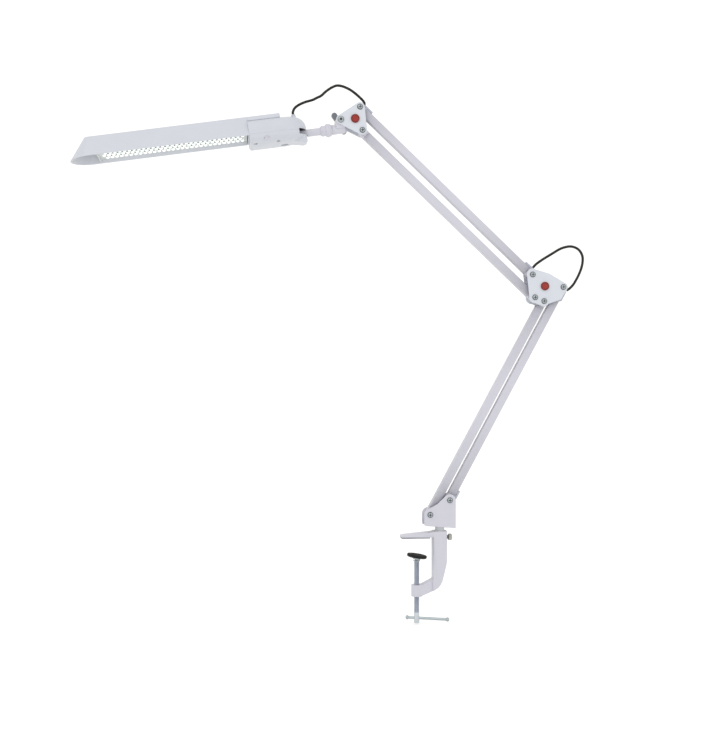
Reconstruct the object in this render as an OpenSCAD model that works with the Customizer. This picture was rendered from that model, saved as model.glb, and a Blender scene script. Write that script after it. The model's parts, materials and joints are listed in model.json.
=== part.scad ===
// Swing arm clamp lamp with a long LED head: two parallelogram arms of square tube on a
// screw clamp. The origin is where the clamp screw's axis meets the underside of the jaw
// rubber. X runs along the arms, Y across them and Z is up.

/* [Clamp] */
// Reach of the upper jaw past the screw axis
jaw_reach = 24; // [18:1:40]
// Distance from the screw axis to the column
throat = 24.5; // [20:0.5:40]
// Width of the jaw, column and lower arm across the lamp
clamp_w = 20; // [17:1:30]
// Thickness of the jaw's rubber
jaw_rubber_t = 2; // [1:0.5:4]
// Thickness of the jaw at its tip
jaw_tip_t = 3; // [2:0.5:6]
// Height of the column's top above the rubber's underside
column_top = 10.5; // [9:0.5:16]
// Thickness of the column along the arms
column_t = 21; // [18:0.5:30]
// Depth of the throat below the rubber's underside
throat_depth = 61.5; // [50:1:100]
// Radius of the column's long back curve
back_curve = 78; // [60:1:140]
// Diameter of the threaded boss
boss_d = 16.5; // [13:0.5:22]
// Height of the threaded boss
boss_h = 17.4; // [10:0.2:26]
// Depth of the boss's top below the throat's floor
boss_drop = 8.7; // [4:0.1:14]
// Diameter of the clamp screw
screw_d = 8; // [6:0.5:10]
// Height of the pad ball's centre below the jaw rubber
pad_ball_depth = 30; // [24:1:50]
// Length of the clamp screw below its ball
screw_len = 98; // [80:1:130]
// Diameter of the ball on the clamp screw
pad_ball_d = 7.4; // [6:0.1:8.4]
// Diameter of the pad's rubber
pad_d = 30; // [26:1:40]
// Lean of the pad on its ball at rest
pad_lean = 8.7; // [0:0.1:9.5]
// Diameter of the tommy bar
bar_d = 4; // [3:0.25:5]
// Length of the tommy bar between its heads
bar_len = 58; // [44:1:80]
// Diameter of the tommy bar's heads
bar_head_d = 6.3; // [5.5:0.1:9]
// How far the tommy bar has slid through the screw
bar_shift = 16.3; // [0:0.1:17]
// Turn of the tommy bar about the screw, seen from above
bar_turn = -21; // [-90:1:90]

/* [Base] */
// Distance of the base swivel axis from the clamp screw axis
post_x = 35; // [34:0.1:37]
// Diameter of the swivel pin in the column
post_d = 11; // [9:0.1:12]
// Depth of the swivel pin in the column
post_depth = 42; // [28:1:46]
// Diameter of the shoulder that carries the base bracket
post_shoulder_d = 14; // [13.5:0.1:19]
// Thickness of the nylon washer on the column
swivel_washer_t = 0.8; // [0.5:0.1:1.5]
// Diameter of the lock screw's knurled head
lock_head_d = 9.7; // [7:0.1:12]
// Height of the base bracket's bottom edge above the rubber's underside
base_bottom = 15.2; // [13.5:0.1:16]
// Distance from the base bracket's lower edge up to the first pivot
base_pivot_x = 18.85; // [18:0.05:20]
// Height of the base bracket's first pivot
base_pivot_z = 35.8; // [34:0.1:38]

/* [Arms] */
// Size of the square arm tubes
tube = 12; // [10:0.5:13]
// Wall of the arm tubes
tube_wall = 1; // [0.8:0.1:1.4]
// Pivot distance of the lower arm
lower_len = 366.6; // [250:0.1:450]
// Rise of the lower arm at rest
lower_rise = 61.45; // [58:0.05:70]
// Pivot distance across the lower parallelogram
lower_span = 36.9; // [35:0.1:40]
// Rise of the lower parallelogram's short side
lower_span_rise = 35.85; // [30:0.05:38]
// Pivot distance of the upper arm
upper_len = 361.4; // [250:0.1:450]
// Direction of the upper arm at rest
upper_rise = 136.8; // [120:0.05:150]
// Pivot distance across the upper parallelogram
upper_span = 34.8; // [33:0.1:38]
// Direction of the upper parallelogram's short side
upper_span_rise = 96.1; // [92:0.05:100]
// Length of the cable guides on the tubes
guide_len = 16; // [12:0.5:24]
// Height of the cable guides over the tubes
guide_h = 3.2; // [2.6:0.1:5]
// Outer diameter of the balance springs
spring_d = 8; // [6:0.1:8.4]
// Length of the balance springs
spring_len = 150; // [100:1:200]

/* [Brackets] */
// Overall width of the brackets across the lamp
bracket_w = 23; // [22:0.5:26]
// Thickness of the bracket plates
plate_t = 1.8; // [1.2:0.1:2.5]
// Radius of the plates around their pivots
ear_r = 9; // [7.5:0.1:10]
// Diameter of the pivot screws
pivot_d = 5; // [4:0.1:6]
// Diameter of the pivot screw heads
pivot_head_d = 8.6; // [7.5:0.1:10]
// Diameter of the pivot washers
washer_d = 11; // [9:0.5:12]
// Diameter of the red caps
cap_d = 13; // [10:0.5:15]
// Diameter of the tube that spaces the plates under the caps
spacer_d = 8; // [6:0.5:9]

/* [Neck] */
// Downward slope of the neck and head
neck_slope = 8.5; // [0:0.1:15]
// Distance from the tilt pivot down to the neck's axis
neck_drop = 12; // [11.5:0.1:16]
// Diameter of the neck rod
rod_d = 11; // [9:0.1:11.5]
// Length of the neck from the tilt pivot to the head's swivel axis
neck_len = 87.5; // [84:0.5:110]
// Diameter of the neck's collar
collar_d = 20; // [18:0.5:24]
// Diameter of the neck socket
socket_d = 14.5; // [13.5:0.1:16]
// Diameter of the tilt bolt
tilt_d = 6; // [5:0.1:7]
// Span of the wing nut
wing_span = 36; // [28:1:44]
// Turn of the wing nut at rest
wing_turn = 122; // [0:1:180]

/* [Head] */
// Radius of the housing's round end about the swivel axis
end_r = 35; // [33:0.5:38]
// Depth of the housing below the neck's axis
housing_below = 13.3; // [12.5:0.1:15]
// Height of the housing above the neck's axis
housing_above = 24; // [22:0.5:26]
// Wall of the housing
housing_wall = 2; // [1.5:0.1:2.5]
// Distance from the swivel axis to the housing's front face
housing_len = 51.5; // [48:0.5:70]
// Height of the swivel slot
slot_h = 8.2; // [7.6:0.1:9.5]
// Half angle of the swivel slot
slot_angle = 50; // [30:1:60]
// Length of the shade from the housing's face to the end of its flat top
shade_len = 231; // [180:0.5:300]
// Length of the shade's sloping nose
nose_len = 31; // [20:0.5:40]
// Width of the shade's mouth
mouth_w = 74; // [71:0.5:86]
// Width of the shade's flat top
top_w = 44; // [38:0.5:50]
// Height of the shade above the neck's axis
shade_h = 30.3; // [29:0.1:36]
// Wall of the shade
shade_wall = 1.6; // [1.2:0.1:2.2]
// Length of the top tongue that runs over the housing
tongue_len = 49; // [30:0.5:51]
// Height of the LED board's underside above the neck's axis
board_z = 5.2; // [4.5:0.1:8]
// Diameter of an LED
led_d = 4.8; // [3:0.1:5]
// Number of LEDs along the head
led_columns = 30; // [10:1:30]
// Spacing of the LEDs along the head
led_pitch = 6.9; // [5.6:0.1:6.9]
// Spacing of the LED rows
led_row = 17; // [8:0.5:20]
// Diameter of the power button
button_d = 7; // [5:0.1:7.4]

/* [Cables] */
// Diameter of the cord
cord_d = 4; // [3:0.1:4.4]

/* [Hidden] */
$fn = 48;

paint = [0.84, 0.84, 0.88];
zinc = [0.66, 0.69, 0.72];
nylon = [0.9, 0.9, 0.88];
black = [0.1, 0.1, 0.1];
red = [0.75, 0.15, 0.13];

// Clearances
run = 0.05;      // running fit, radial
gap = 0.3;       // free gap between moving pieces
eps = 0.01;

// Pivot points, [x, z]
function along(p, len, a) = [p.x + len * cos(a), p.y + len * sin(a)];
base_l = [base_pivot_x, base_pivot_z];
base_r = along(base_l, lower_span, lower_span_rise);
elbow_d = along(base_l, lower_len, lower_rise);
elbow_b = along(base_r, lower_len, lower_rise);
// Offset from the lower arm's right pivot to the upper arm's top pivot on the elbow
elbow_step = [-47.7, 18.7];
elbow_a = elbow_b + elbow_step;
elbow_c = along(elbow_a, -upper_span, upper_span_rise);
elbow_centre = (elbow_a + elbow_b + elbow_c + elbow_d) / 4 + [1.6, 5.8];
head_t = along(elbow_a, upper_len, upper_rise);
head_lr = along(elbow_c, upper_len, upper_rise);
// Offset from the head bracket's top pivot to the tilt pivot
head_step = [-28.7, -19.5];
tilt_p = head_t + head_step;
head_centre = (head_t + head_lr + tilt_p) / 3 + [1, 0.2];

// Widths across the lamp
in_w = bracket_w / 2 - plate_t;
out_w = bracket_w / 2;
washer_t = in_w - tube / 2 - 2 * run;
head_t_screw = 2.4;
nut_t = 4;

// Extrudes an outline in X and Z from y0 to y1
module across(y0, y1) {
    translate([0, y1, 0]) rotate([90, 0, 0]) linear_extrude(y1 - y0) children();
}

// A round pin across the lamp at the pivot p
module pin(p, y0, y1, d) {
    translate([p.x, y1, p.y]) rotate([90, 0, 0]) cylinder(d = d, h = y1 - y0);
}

function arc(cx, cy, r, a0, a1, n = 8) =
    [for (i = [0 : n]) [cx + r * cos(a0 + (a1 - a0) * i / n),
                        cy + r * sin(a0 + (a1 - a0) * i / n)]];

// A plate outline: straight sides between round ears, its corners just inside the rounds
module ears(ps, r) {
    n = len(ps);
    function out(i, j) = let (d = ps[j % n] - ps[i % n]) [d.y, -d.x] / norm(d) * (r - eps);
    polygon([for (i = [0 : n - 1]) each [ps[i] + out(i + n - 1, i), ps[i] + out(i, i + 1)]]);
    for (p = ps) translate(p) circle(r = r);
}

// Clamp

boss_top = -throat_depth - boss_drop;
column_x = throat;
column_back = throat + column_t;
// Height where the column's back starts to curve
back_start = -throat_depth / 2;

module clamp_profile() {
    union() {
        polygon([[-jaw_reach, jaw_rubber_t], [column_x + eps, jaw_rubber_t],
                 [column_x + eps, column_top - 1], [-jaw_reach + 1, jaw_rubber_t + jaw_tip_t],
                 [-jaw_reach, jaw_rubber_t + jaw_tip_t - 1]]);
        intersection() {
            translate([column_x, boss_top - boss_h])
                square([column_t, column_top - boss_top + boss_h]);
            union() {
                translate([column_x, back_start]) square([column_t, column_top - back_start]);
                translate([column_back - back_curve, back_start])
                    circle(r = back_curve, $fn = 96);
            }
            polygon([[0, column_top], [0, boss_top - boss_h],
                     [boss_d / 2, boss_top - boss_h - 1],
                     [column_back - 15, -throat_depth - 13],
                     [column_back - 9, -throat_depth - 8],
                     [column_back + 1, back_start], [column_back + 1, column_top]]);
        }
        polygon([[0, boss_top - eps], [boss_d / 2 - 1, boss_top - eps],
                 [column_x, -throat_depth], [column_x + 8, -throat_depth],
                 [column_x + 8, -throat_depth - 12], [column_x, -throat_depth - 17.2],
                 [boss_d / 2 - 1, boss_top - boss_h + 1.5], [0, boss_top - boss_h + 1.5]]);
    }
}

module clamp_frame() color(paint) difference() {
    union() {
        difference() {
            across(-clamp_w / 2, clamp_w / 2) clamp_profile();
            // The column's back corners are rounded off along its height
            for (s = [-1, 1]) translate([column_back - 5, s * (clamp_w / 2 - 5), -throat_depth - 30])
                difference() {
                    translate([0, s > 0 ? 0 : -6, -1]) cube([6, 6, throat_depth + 60]);
                    translate([0, 0, -2]) cylinder(r = 5, h = throat_depth + 62);
                }
            // The lower arm is slimmer than the column
            for (s = [-1, 1]) translate([-boss_d, s > 0 ? clamp_w / 2 - 2 : -clamp_w / 2 - 2,
                                         boss_top - boss_h - 10])
                cube([boss_d + column_x - 1, 4, boss_h + boss_drop + 10]);
        }
        translate([0, 0, boss_top - boss_h]) cylinder(d = boss_d, h = boss_h);
    }
    translate([0, 0, boss_top - boss_h - 1]) cylinder(d = screw_d + 2 * run, h = boss_h + 2);
    translate([post_x, 0, column_top - post_depth - 1])
        cylinder(d = post_d + 2 * run, h = post_depth + 2);
    translate([post_x, 0, lock_z]) rotate([0, 90, 0]) cylinder(d = lock_d + 2 * run, h = column_t);
}

module jaw_pad() color([0.55, 0.56, 0.58]) difference() {
    translate([-jaw_reach, -clamp_w / 2, 0]) cube([jaw_reach + throat - 5.5, clamp_w, jaw_rubber_t]);
    for (s = [-1, 1]) translate([-jaw_reach, s * clamp_w / 2, -1]) rotate([0, 0, 45])
        cube([3, 3, 9], center = true);
}

module swivel_washer() color(nylon) translate([post_x, 0, column_top]) difference() {
    cylinder(d = post_shoulder_d, h = swivel_washer_t);
    translate([0, 0, -1]) cylinder(d = post_d + 4 * run, h = swivel_washer_t + 2);
}

ball_z = -pad_ball_depth;
neck_d = pad_ball_d * 0.62;
pad_hub_r = pad_ball_d / 2 + 1.9;
pad_hub_drop = 2.2;
// The screw's shoulder carries the thrust washer, clear of the pad at full lean
thrust_t = 1;
thrust_z = ball_z - pad_hub_drop - 1.4 - thrust_t;
shoulder_z = thrust_z - run;
screw_end = ball_z - screw_len;
bar_z = screw_end + 7.5;

module clamp_screw() color(zinc) difference() {
    union() {
        translate([0, 0, screw_end + 1]) cylinder(d = screw_d, h = shoulder_z - screw_end - 1.8);
        translate([0, 0, screw_end]) cylinder(d1 = screw_d - 2, d2 = screw_d, h = 1 + eps);
        translate([0, 0, shoulder_z - 0.8]) cylinder(d1 = screw_d, d2 = screw_d - 1.6, h = 0.8);
        translate([0, 0, shoulder_z - 1]) cylinder(d = neck_d, h = ball_z - shoulder_z);
        translate([0, 0, ball_z]) sphere(d = pad_ball_d);
    }
    translate([0, 0, bar_z]) rotate([0, 90, bar_turn])
        cylinder(d = bar_d + 2 * run, h = 3 * screw_d, center = true);
}

module thrust_washer() color(zinc) translate([0, 0, thrust_z]) difference() {
    cylinder(d = screw_d + 2.5, h = thrust_t);
    translate([0, 0, -1]) cylinder(d = neck_d + 4 * run, h = thrust_t + 2);
}

module tommy_bar() color(zinc)
    translate([0, 0, bar_z]) rotate([0, 0, bar_turn]) translate([bar_shift, 0, 0])
    rotate([0, 90, 0]) {
        cylinder(d = bar_d, h = bar_len, center = true);
        for (s = [-1, 1]) scale([1, 1, s]) translate([0, 0, bar_len / 2 - 0.5]) {
            cylinder(d1 = bar_d, d2 = bar_head_d, h = 1.2);
            translate([0, 0, 1.2 - eps]) cylinder(d = bar_head_d, h = 2.6);
            translate([0, 0, 3.8 - 2 * eps]) cylinder(d1 = bar_head_d, d2 = bar_head_d - 2.4, h = 1);
        }
    }

module on_ball() {
    translate([0, 0, ball_z]) rotate([0, pad_lean, 0]) children();
}

cup_z = 1.2;
cup_t = 1.6;
pad_rubber_t = 2.3;

module pad_cup() color(zinc) on_ball() difference() {
    rotate_extrude($fn = 64) polygon([[0, cup_z + cup_t], [0, -pad_hub_drop],
        [pad_hub_r, -pad_hub_drop], [pad_hub_r, cup_z - 0.6], [pad_hub_r + 1, cup_z],
        [pad_d / 2 - 1.5, cup_z], [pad_d / 2 - 1.5, cup_z + cup_t]]);
    sphere(d = pad_ball_d + 2 * run);
    translate([0, 0, -pad_hub_drop - 1]) cylinder(d = pad_ball_d - 0.9, h = 3);
    translate([0, 0, cup_z + cup_t - 0.8]) cylinder(d = 3, h = 2);
}

// The rubber wraps the cup's rim and is hollowed out over the ball
module pad_rubber() color(black) on_ball() difference() {
    rotate_extrude($fn = 64) polygon([[0, cup_z + cup_t], [pad_d / 2 - 1.5, cup_z + cup_t],
        [pad_d / 2 - 1.5, cup_z], [pad_d / 2 - 2.5, cup_z], [pad_d / 2 - 2.5, cup_z - 0.8],
        [pad_d / 2 - 0.6, cup_z - 0.8], [pad_d / 2, cup_z],
        [pad_d / 2, cup_z + cup_t + pad_rubber_t - 0.8],
        [pad_d / 2 - 0.8, cup_z + cup_t + pad_rubber_t], [0, cup_z + cup_t + pad_rubber_t]]);
    sphere(d = pad_ball_d + 2 * gap);
}

// Swivel and lock screw

lock_z = 0.8;
lock_d = 5;
lock_groove_d = post_d - 3;
post_base = column_top + swivel_washer_t + run;

module lock_screw() color([0.45, 0.45, 0.38]) translate([0, 0, lock_z]) rotate([0, 90, 0]) {
    translate([0, 0, post_x + lock_groove_d / 2 + gap])
        cylinder(d = lock_d, h = column_back - post_x - lock_groove_d / 2 + 1);
    translate([0, 0, column_back + gap]) difference() {
        union() {
            cylinder(d = lock_d + 0.6, h = 2.6);
            translate([0, 0, 2.4]) cylinder(d = lock_head_d, h = 4.6);
            translate([0, 0, 7 - eps]) cylinder(d1 = lock_head_d, d2 = lock_head_d - 1.6, h = 0.8);
        }
        for (i = [0 : 11]) rotate([0, 0, 30 * i]) translate([lock_head_d / 2 + 0.35, 0, 2])
            cylinder(d = 1.4, h = 6);
    }
}

// Thickness of the base bracket's floor and the tenon that is riveted over it
floor_z = base_bottom + 3.6;
tenon_d = 9;

module swivel_post() color(zinc) translate([post_x, 0, 0]) difference() {
    union() {
        translate([0, 0, column_top - post_depth]) cylinder(d = post_d, h = post_depth + 1.5);
        translate([0, 0, column_top - post_depth - 0.8])
            cylinder(d1 = post_d - 2, d2 = post_d, h = 0.8);
        translate([0, 0, post_base]) cylinder(d = post_shoulder_d, h = floor_z - post_base);
        translate([0, 0, floor_z - 1]) cylinder(d = tenon_d, h = plate_t + 1.2);
        translate([0, 0, floor_z + plate_t]) cylinder(d1 = tenon_d + 4, d2 = tenon_d + 1, h = 1.6);
    }
    translate([0, 0, lock_z - 4]) difference() {
        cylinder(d = post_d + 1, h = 8);
        translate([0, 0, -1]) cylinder(d = lock_groove_d, h = 10);
    }
}

// Base bracket: a channel that is folded along its right edge and open to the left

base_left = base_l.x - ear_r;
base_right = base_r.x + ear_r;

module base_outline() {
    union() {
        translate(base_l) circle(r = ear_r);
        translate(base_r) circle(r = ear_r);
        polygon([[base_left, base_l.y], [base_left, base_bottom + 5.6],
                 [base_left + 1.6, base_bottom + 4], [base_right, base_bottom],
                 [base_right, base_r.y], along(base_r, ear_r, lower_span_rise + 97),
                 along((base_l + base_r) / 2, ear_r - 2.4, lower_span_rise + 90),
                 along(base_l, ear_r, lower_span_rise + 74)]);
    }
}

module base_bracket() color(paint) difference() {
    union() {
        for (y = [-out_w, in_w]) across(y, y + plate_t) base_outline();
        // Folded right side
        translate([base_right - plate_t, -out_w + plate_t - eps, base_bottom + 0.6])
            cube([plate_t, 2 * (in_w + eps), base_r.y - base_bottom - 8]);
        // Floor that the post is riveted to
        translate([base_left + 6, -out_w + plate_t - eps, floor_z])
            cube([base_right - base_left - 6, 2 * (in_w + eps), plate_t]);
    }
    for (p = [base_l, base_r]) pin(p, -out_w - 1, out_w + 1, pivot_d + 2 * run);
    translate([post_x, 0, floor_z - 1]) cylinder(d = tenon_d + 2 * run, h = plate_t + 2);
}

// Pivot screws, nuts and washers

module pivot_screw(p) {
    difference() {
        union() {
            pin(p, -out_w - 0.8, out_w + nut_t + 1, pivot_d);
            pin(p, -out_w - 0.9, -out_w, pivot_head_d);
            translate([p.x, -out_w - 0.9 + eps, p.y]) rotate([90, 0, 0])
                cylinder(d1 = pivot_head_d, d2 = pivot_head_d - 2.4, h = head_t_screw - 0.9);
        }
        translate([p.x, -out_w - 0.8, p.y]) rotate([90, 0, 0]) {
            cube([5, 0.9, 8], center = true);
            cube([0.9, 5, 8], center = true);
        }
    }
}

module hex_nut(p, d, t, y) {
    difference() {
        translate([p.x, y + t, p.y]) rotate([90, 0, 0]) cylinder(d = 1.85 * d, h = t, $fn = 6);
        pin(p, y - 1, y + t + 1, d + 2 * run);
    }
}

module pivot_washers(p) {
    for (s = [-1, 1]) difference() {
        y = s > 0 ? tube / 2 + run : -in_w + run;
        pin(p, y, y + washer_t, washer_d);
        pin(p, y - 1, y + washer_t + 1, pivot_d + 2 * run);
    }
}

module base_screws() color(zinc) for (p = [base_l, base_r]) pivot_screw(p);
module base_nuts() color(zinc) for (p = [base_l, base_r]) hex_nut(p, pivot_d, nut_t, out_w);
module base_washers() color(nylon) for (p = [base_l, base_r]) pivot_washers(p);

// Arms

plug_len = 9;     // visible length of an end plug past its pivot
plug_in = 16;     // length of the plug's shank in the tube
tube_in = tube - 2 * tube_wall;

// Children are drawn along +X from the pivot p in the direction a
module on_arm(p, a) {
    translate([p.x, 0, p.y]) rotate([0, -a, 0]) children();
}

module arm_tube(p, a, len) {
    on_arm(p, a) difference() {
        translate([plug_len, -tube / 2, -tube / 2]) cube([len - 2 * plug_len, tube, tube]);
        translate([plug_len - 1, -tube_in / 2, -tube_in / 2])
            cube([len - 2 * plug_len + 2, tube_in, tube_in]);
    }
}

module end_plug() {
    difference() {
        union() {
            translate([0, tube / 2, 0]) rotate([90, 0, 0]) cylinder(d = tube, h = tube);
            translate([0, -tube / 2, -tube / 2]) cube([plug_len, tube, tube]);
            translate([plug_len - eps, -tube_in / 2 + run, -tube_in / 2 + run])
                cube([plug_in, tube_in - 2 * run, tube_in - 2 * run]);
        }
        translate([0, tube / 2 + 1, 0]) rotate([90, 0, 0])
            cylinder(d = pivot_d + 2 * run, h = tube + 2);
    }
}

module arm_ends(p, a, len) {
    on_arm(p, a) {
        end_plug();
        translate([len, 0, 0]) rotate([0, 180, 0]) end_plug();
    }
}

// A saddle on the tube's outer side (s = 1 is above the tube's line) that leads the cord in
module guide(at, s) {
    translate([at, 0, s * tube / 2]) difference() {
        translate([0, -tube / 2, s > 0 ? 0 : -guide_h]) cube([guide_len, tube, guide_h]);
        for (t = [-1, 1]) translate([guide_len / 2, t * tube / 2, s * guide_h]) rotate([45, 0, 0])
            cube([guide_len + 2, 1.4, 1.4], center = true);
    }
}

// A close wound extension spring, drawn as its sleeve, with a hook to a pin in the plug
module spring_in_tube(at) {
    translate([at, 0, 0]) rotate([0, 90, 0]) difference() {
        cylinder(d = spring_d, h = spring_len);
        translate([0, 0, -1]) cylinder(d = spring_d - 2.4, h = spring_len + 2);
    }
}

module lower_left_tube() color(paint) arm_tube(base_l, lower_rise, lower_len);
module lower_right_tube() color(paint) arm_tube(base_r, lower_rise, lower_len);
module lower_left_ends() color(paint) arm_ends(base_l, lower_rise, lower_len);
module lower_right_ends() color(paint) arm_ends(base_r, lower_rise, lower_len);
module upper_top_tube() color(paint) arm_tube(elbow_a, upper_rise, upper_len);
module upper_bottom_tube() color(paint) arm_tube(elbow_c, upper_rise, upper_len);
module upper_top_ends() color(paint) arm_ends(elbow_a, upper_rise, upper_len);
module upper_bottom_ends() color(paint) arm_ends(elbow_c, upper_rise, upper_len);

guide_at = 3;

module lower_guides() color([0.6, 0.63, 0.7]) on_arm(base_r, lower_rise) {
    guide(guide_at, -1);
    guide(lower_len - guide_at - guide_len, -1);
}

// On the upper arm, whose direction points back over the vertical, the outer side is below
// the line in the arm's own frame
module upper_guides() color([0.6, 0.63, 0.7]) on_arm(elbow_a, upper_rise) {
    guide(guide_at, -1);
    guide(upper_len - guide_at - guide_len, -1);
}

module lower_spring() color(zinc) on_arm(base_r, lower_rise) spring_in_tube(plug_len + plug_in + gap);
module upper_spring() color(zinc) on_arm(elbow_a, upper_rise) spring_in_tube(plug_len + plug_in + gap);

// Elbow bracket

// The elbow plates' ears, each with its radius, and the straight edges between them
module elbow_outline(y) {
    for (e = [[elbow_a, ear_r], [elbow_b, ear_r - 2], [elbow_c, ear_r], [elbow_d, ear_r - 1]])
        pin(e[0], y, y + plate_t, 2 * e[1]);
    across(y, y + plate_t)
        polygon([along(elbow_a, ear_r - 0.2, 177), along(elbow_a, ear_r - 0.2, 83),
                 elbow_a + [26, 1.6], along(elbow_b, ear_r - 2.2, 63),
                 along(elbow_b, ear_r - 2.2, -18), elbow_b + [-3.6, -19],
                 along(elbow_d, ear_r - 1.2, -32), along(elbow_d, ear_r - 1.2, -97),
                 along(elbow_c, ear_r - 0.2, -93), along(elbow_c, ear_r - 0.2, 177)]);
}

module plate_with_holes(y, ps, centre) {
    difference() {
        children();
        for (p = ps) pin(p, y - 1, y + plate_t + 1, pivot_d + 2 * run);
        pin(centre, y - 1, y + plate_t + 1, cap_stem_d + 2 * run);
    }
}

cap_stem_d = 4;
cap_h = 2.2;
elbow_pivots = [elbow_a, elbow_b, elbow_c, elbow_d];

module elbow_front_plate() color(paint)
    plate_with_holes(-out_w, elbow_pivots, elbow_centre) elbow_outline(-out_w);
module elbow_back_plate() color(paint)
    plate_with_holes(in_w, elbow_pivots, elbow_centre) elbow_outline(in_w);

// A tube between the plates, bored for the stems of the caps
module spacer(p) {
    difference() {
        pin(p, -in_w, in_w, spacer_d);
        pin(p, -in_w - 1, in_w + 1, cap_stem_d + 2 * run);
    }
}

// A round cap with a domed edge on each plate, its stem pushed into the spacer
module caps(p) {
    for (s = [-1, 1]) translate([p.x, s * out_w, p.y]) rotate([-90 * s, 0, 0]) {
        cylinder(d = cap_d, h = cap_h - 0.9);
        translate([0, 0, cap_h - 0.9 - eps])
            cylinder(d1 = cap_d, d2 = cap_d - 2.6, h = 0.9);
        translate([0, 0, -plate_t - 5]) cylinder(d = cap_stem_d, h = plate_t + 5.5);
    }
}

module elbow_spacer() color(zinc) spacer(elbow_centre);
module elbow_caps() color(red) caps(elbow_centre);
module elbow_screws() color(zinc) for (p = elbow_pivots) pivot_screw(p);
module elbow_nuts() color(zinc) for (p = elbow_pivots) hex_nut(p, pivot_d, nut_t, out_w);
module elbow_washers() color(nylon) for (p = elbow_pivots) pivot_washers(p);

// Head bracket

head_pivots = [head_t, head_lr];

module head_outline(y) {
    across(y, y + plate_t) ears([tilt_p, head_lr, head_t], ear_r - 2);
}

module head_plate(y) {
    difference() {
        plate_with_holes(y, head_pivots, head_centre) head_outline(y);
        pin(tilt_p, y - 1, y + plate_t + 1, tilt_d + 2 * run);
    }
}

module head_front_plate() color(paint) head_plate(-out_w);
module head_back_plate() color(paint) head_plate(in_w);
module head_spacer() color(zinc) spacer(head_centre);
module head_caps() color(red) caps(head_centre);
module head_screws() color(zinc) for (p = head_pivots) pivot_screw(p);
module head_nuts() color(zinc) for (p = head_pivots) hex_nut(p, pivot_d, nut_t, out_w);
module head_washers() color(nylon) for (p = head_pivots) pivot_washers(p);

// Tilt bolt and wing nut

bolt_head_d = 9.4;
wing_y = out_w + 0.3;
wing_hub_h = 7;

module tilt_bolt() color(zinc) difference() {
    union() {
        pin(tilt_p, -out_w - 0.8, wing_y + wing_hub_h + 3, tilt_d);
        pin(tilt_p, -out_w - 1.2, -out_w, bolt_head_d);
        translate([tilt_p.x, -out_w - 1.2 + eps, tilt_p.y]) rotate([90, 0, 0])
            cylinder(d1 = bolt_head_d, d2 = bolt_head_d - 3, h = 1.4);
    }
    translate([tilt_p.x, -out_w - 2.6, tilt_p.y]) rotate([90, 0, 0])
        cylinder(d = 4, h = 4, $fn = 6);
}

// Outline of the wing nut seen along the bolt: a round hub between two lobes
module wing_outline() {
    lobe_r = 4.2;
    circle(r = 6.5);
    for (s = [-1, 1]) translate([s * (wing_span / 2 - lobe_r), 0]) circle(r = lobe_r);
    polygon([[wing_span / 2 - lobe_r, lobe_r - eps], [0, 3.2], [-wing_span / 2 + lobe_r, lobe_r - eps],
             [-wing_span / 2 + lobe_r, eps - lobe_r], [0, -3.2],
             [wing_span / 2 - lobe_r, eps - lobe_r]]);
}

module wing_nut() color([0.5, 0.51, 0.53]) translate([tilt_p.x, wing_y, tilt_p.y])
    rotate([0, -wing_turn, 0]) difference() {
        union() {
            across(0, wing_hub_h) circle(d = 11);
            across(3.4, wing_hub_h + 3) wing_outline();
        }
        across(-1, wing_hub_h + 20) circle(d = tilt_d + 2 * run);
    }

// Neck: children are drawn in a frame whose -X points along the neck to the head, with its
// origin below the tilt pivot

neck_o = [tilt_p.x + neck_drop * sin(neck_slope), tilt_p.y - neck_drop * cos(neck_slope)];

module in_neck() {
    translate([neck_o.x, 0, neck_o.y]) rotate([0, -neck_slope, 0]) children();
}

tongue_w = in_w - gap;
socket_from = 14;     // distance of the socket's front end from the neck's origin
socket_back = 7.5;
bore_depth = 16;
rod_stub = rod_d - 3;  // diameter of the rod's end in the socket
spigot_d = socket_d - 1.5;

module neck_socket() color(paint) in_neck() difference() {
    union() {
        translate([-socket_from, 0, 0]) rotate([0, 90, 0])
            cylinder(d = socket_d, h = socket_from + socket_back - 3);
        translate([socket_back - 3 - eps, 0, 0]) rotate([0, 90, 0])
            cylinder(d1 = socket_d, d2 = socket_d - 6, h = 3);
        // Tongue up to the tilt bolt
        intersection() {
            across(-tongue_w, tongue_w) union() {
                translate([0, neck_drop]) circle(r = 6.6);
                polygon([[-6.6, neck_drop], [6.6, neck_drop], [5, 0], [-8.5, 0]]);
            }
            translate([-20, -tongue_w, -1]) cube([40, 2 * tongue_w, 40]);
        }
        // Threaded spigot that the collar screws on
        translate([-socket_from - 8, 0, 0]) rotate([0, 90, 0]) cylinder(d = spigot_d, h = 9);
    }
    translate([-socket_from - 9, 0, 0]) rotate([0, 90, 0])
        cylinder(d = rod_stub + 2 * run, h = bore_depth + 1);
    translate([0, tongue_w + 1, neck_drop]) rotate([90, 0, 0])
        cylinder(d = tilt_d + 2 * run, h = 2 * tongue_w + 2);
}

collar_from = socket_from + gap;
collar_len = 17.5;

// A barrel collar with a waist at each end
module neck_collar() color(paint) in_neck() translate([-collar_from, 0, 0]) rotate([0, -90, 0])
    rotate_extrude($fn = 64) polygon(concat(
        [[spigot_d / 2 + run, 0], [socket_d / 2, 0], [collar_d / 2 - 0.6, 3]],
        arc(collar_d / 2 - 4, 6.5, 4, -20, 50, 8),
        [[spigot_d / 2 + 0.9, 10.8], [rod_d / 2 + 2.4, 15], [rod_d / 2 + 1.4, collar_len],
         [rod_d / 2 + run, collar_len], [rod_d / 2 + run, 10.2], [spigot_d / 2 + run, 10.2]]));

eye_r = 10;
eye_t = slot_h - 1.4;
pin_d = 8;
rod_start = socket_from + 8.3;
rod_end = neck_len - end_r - 0.8;

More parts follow.
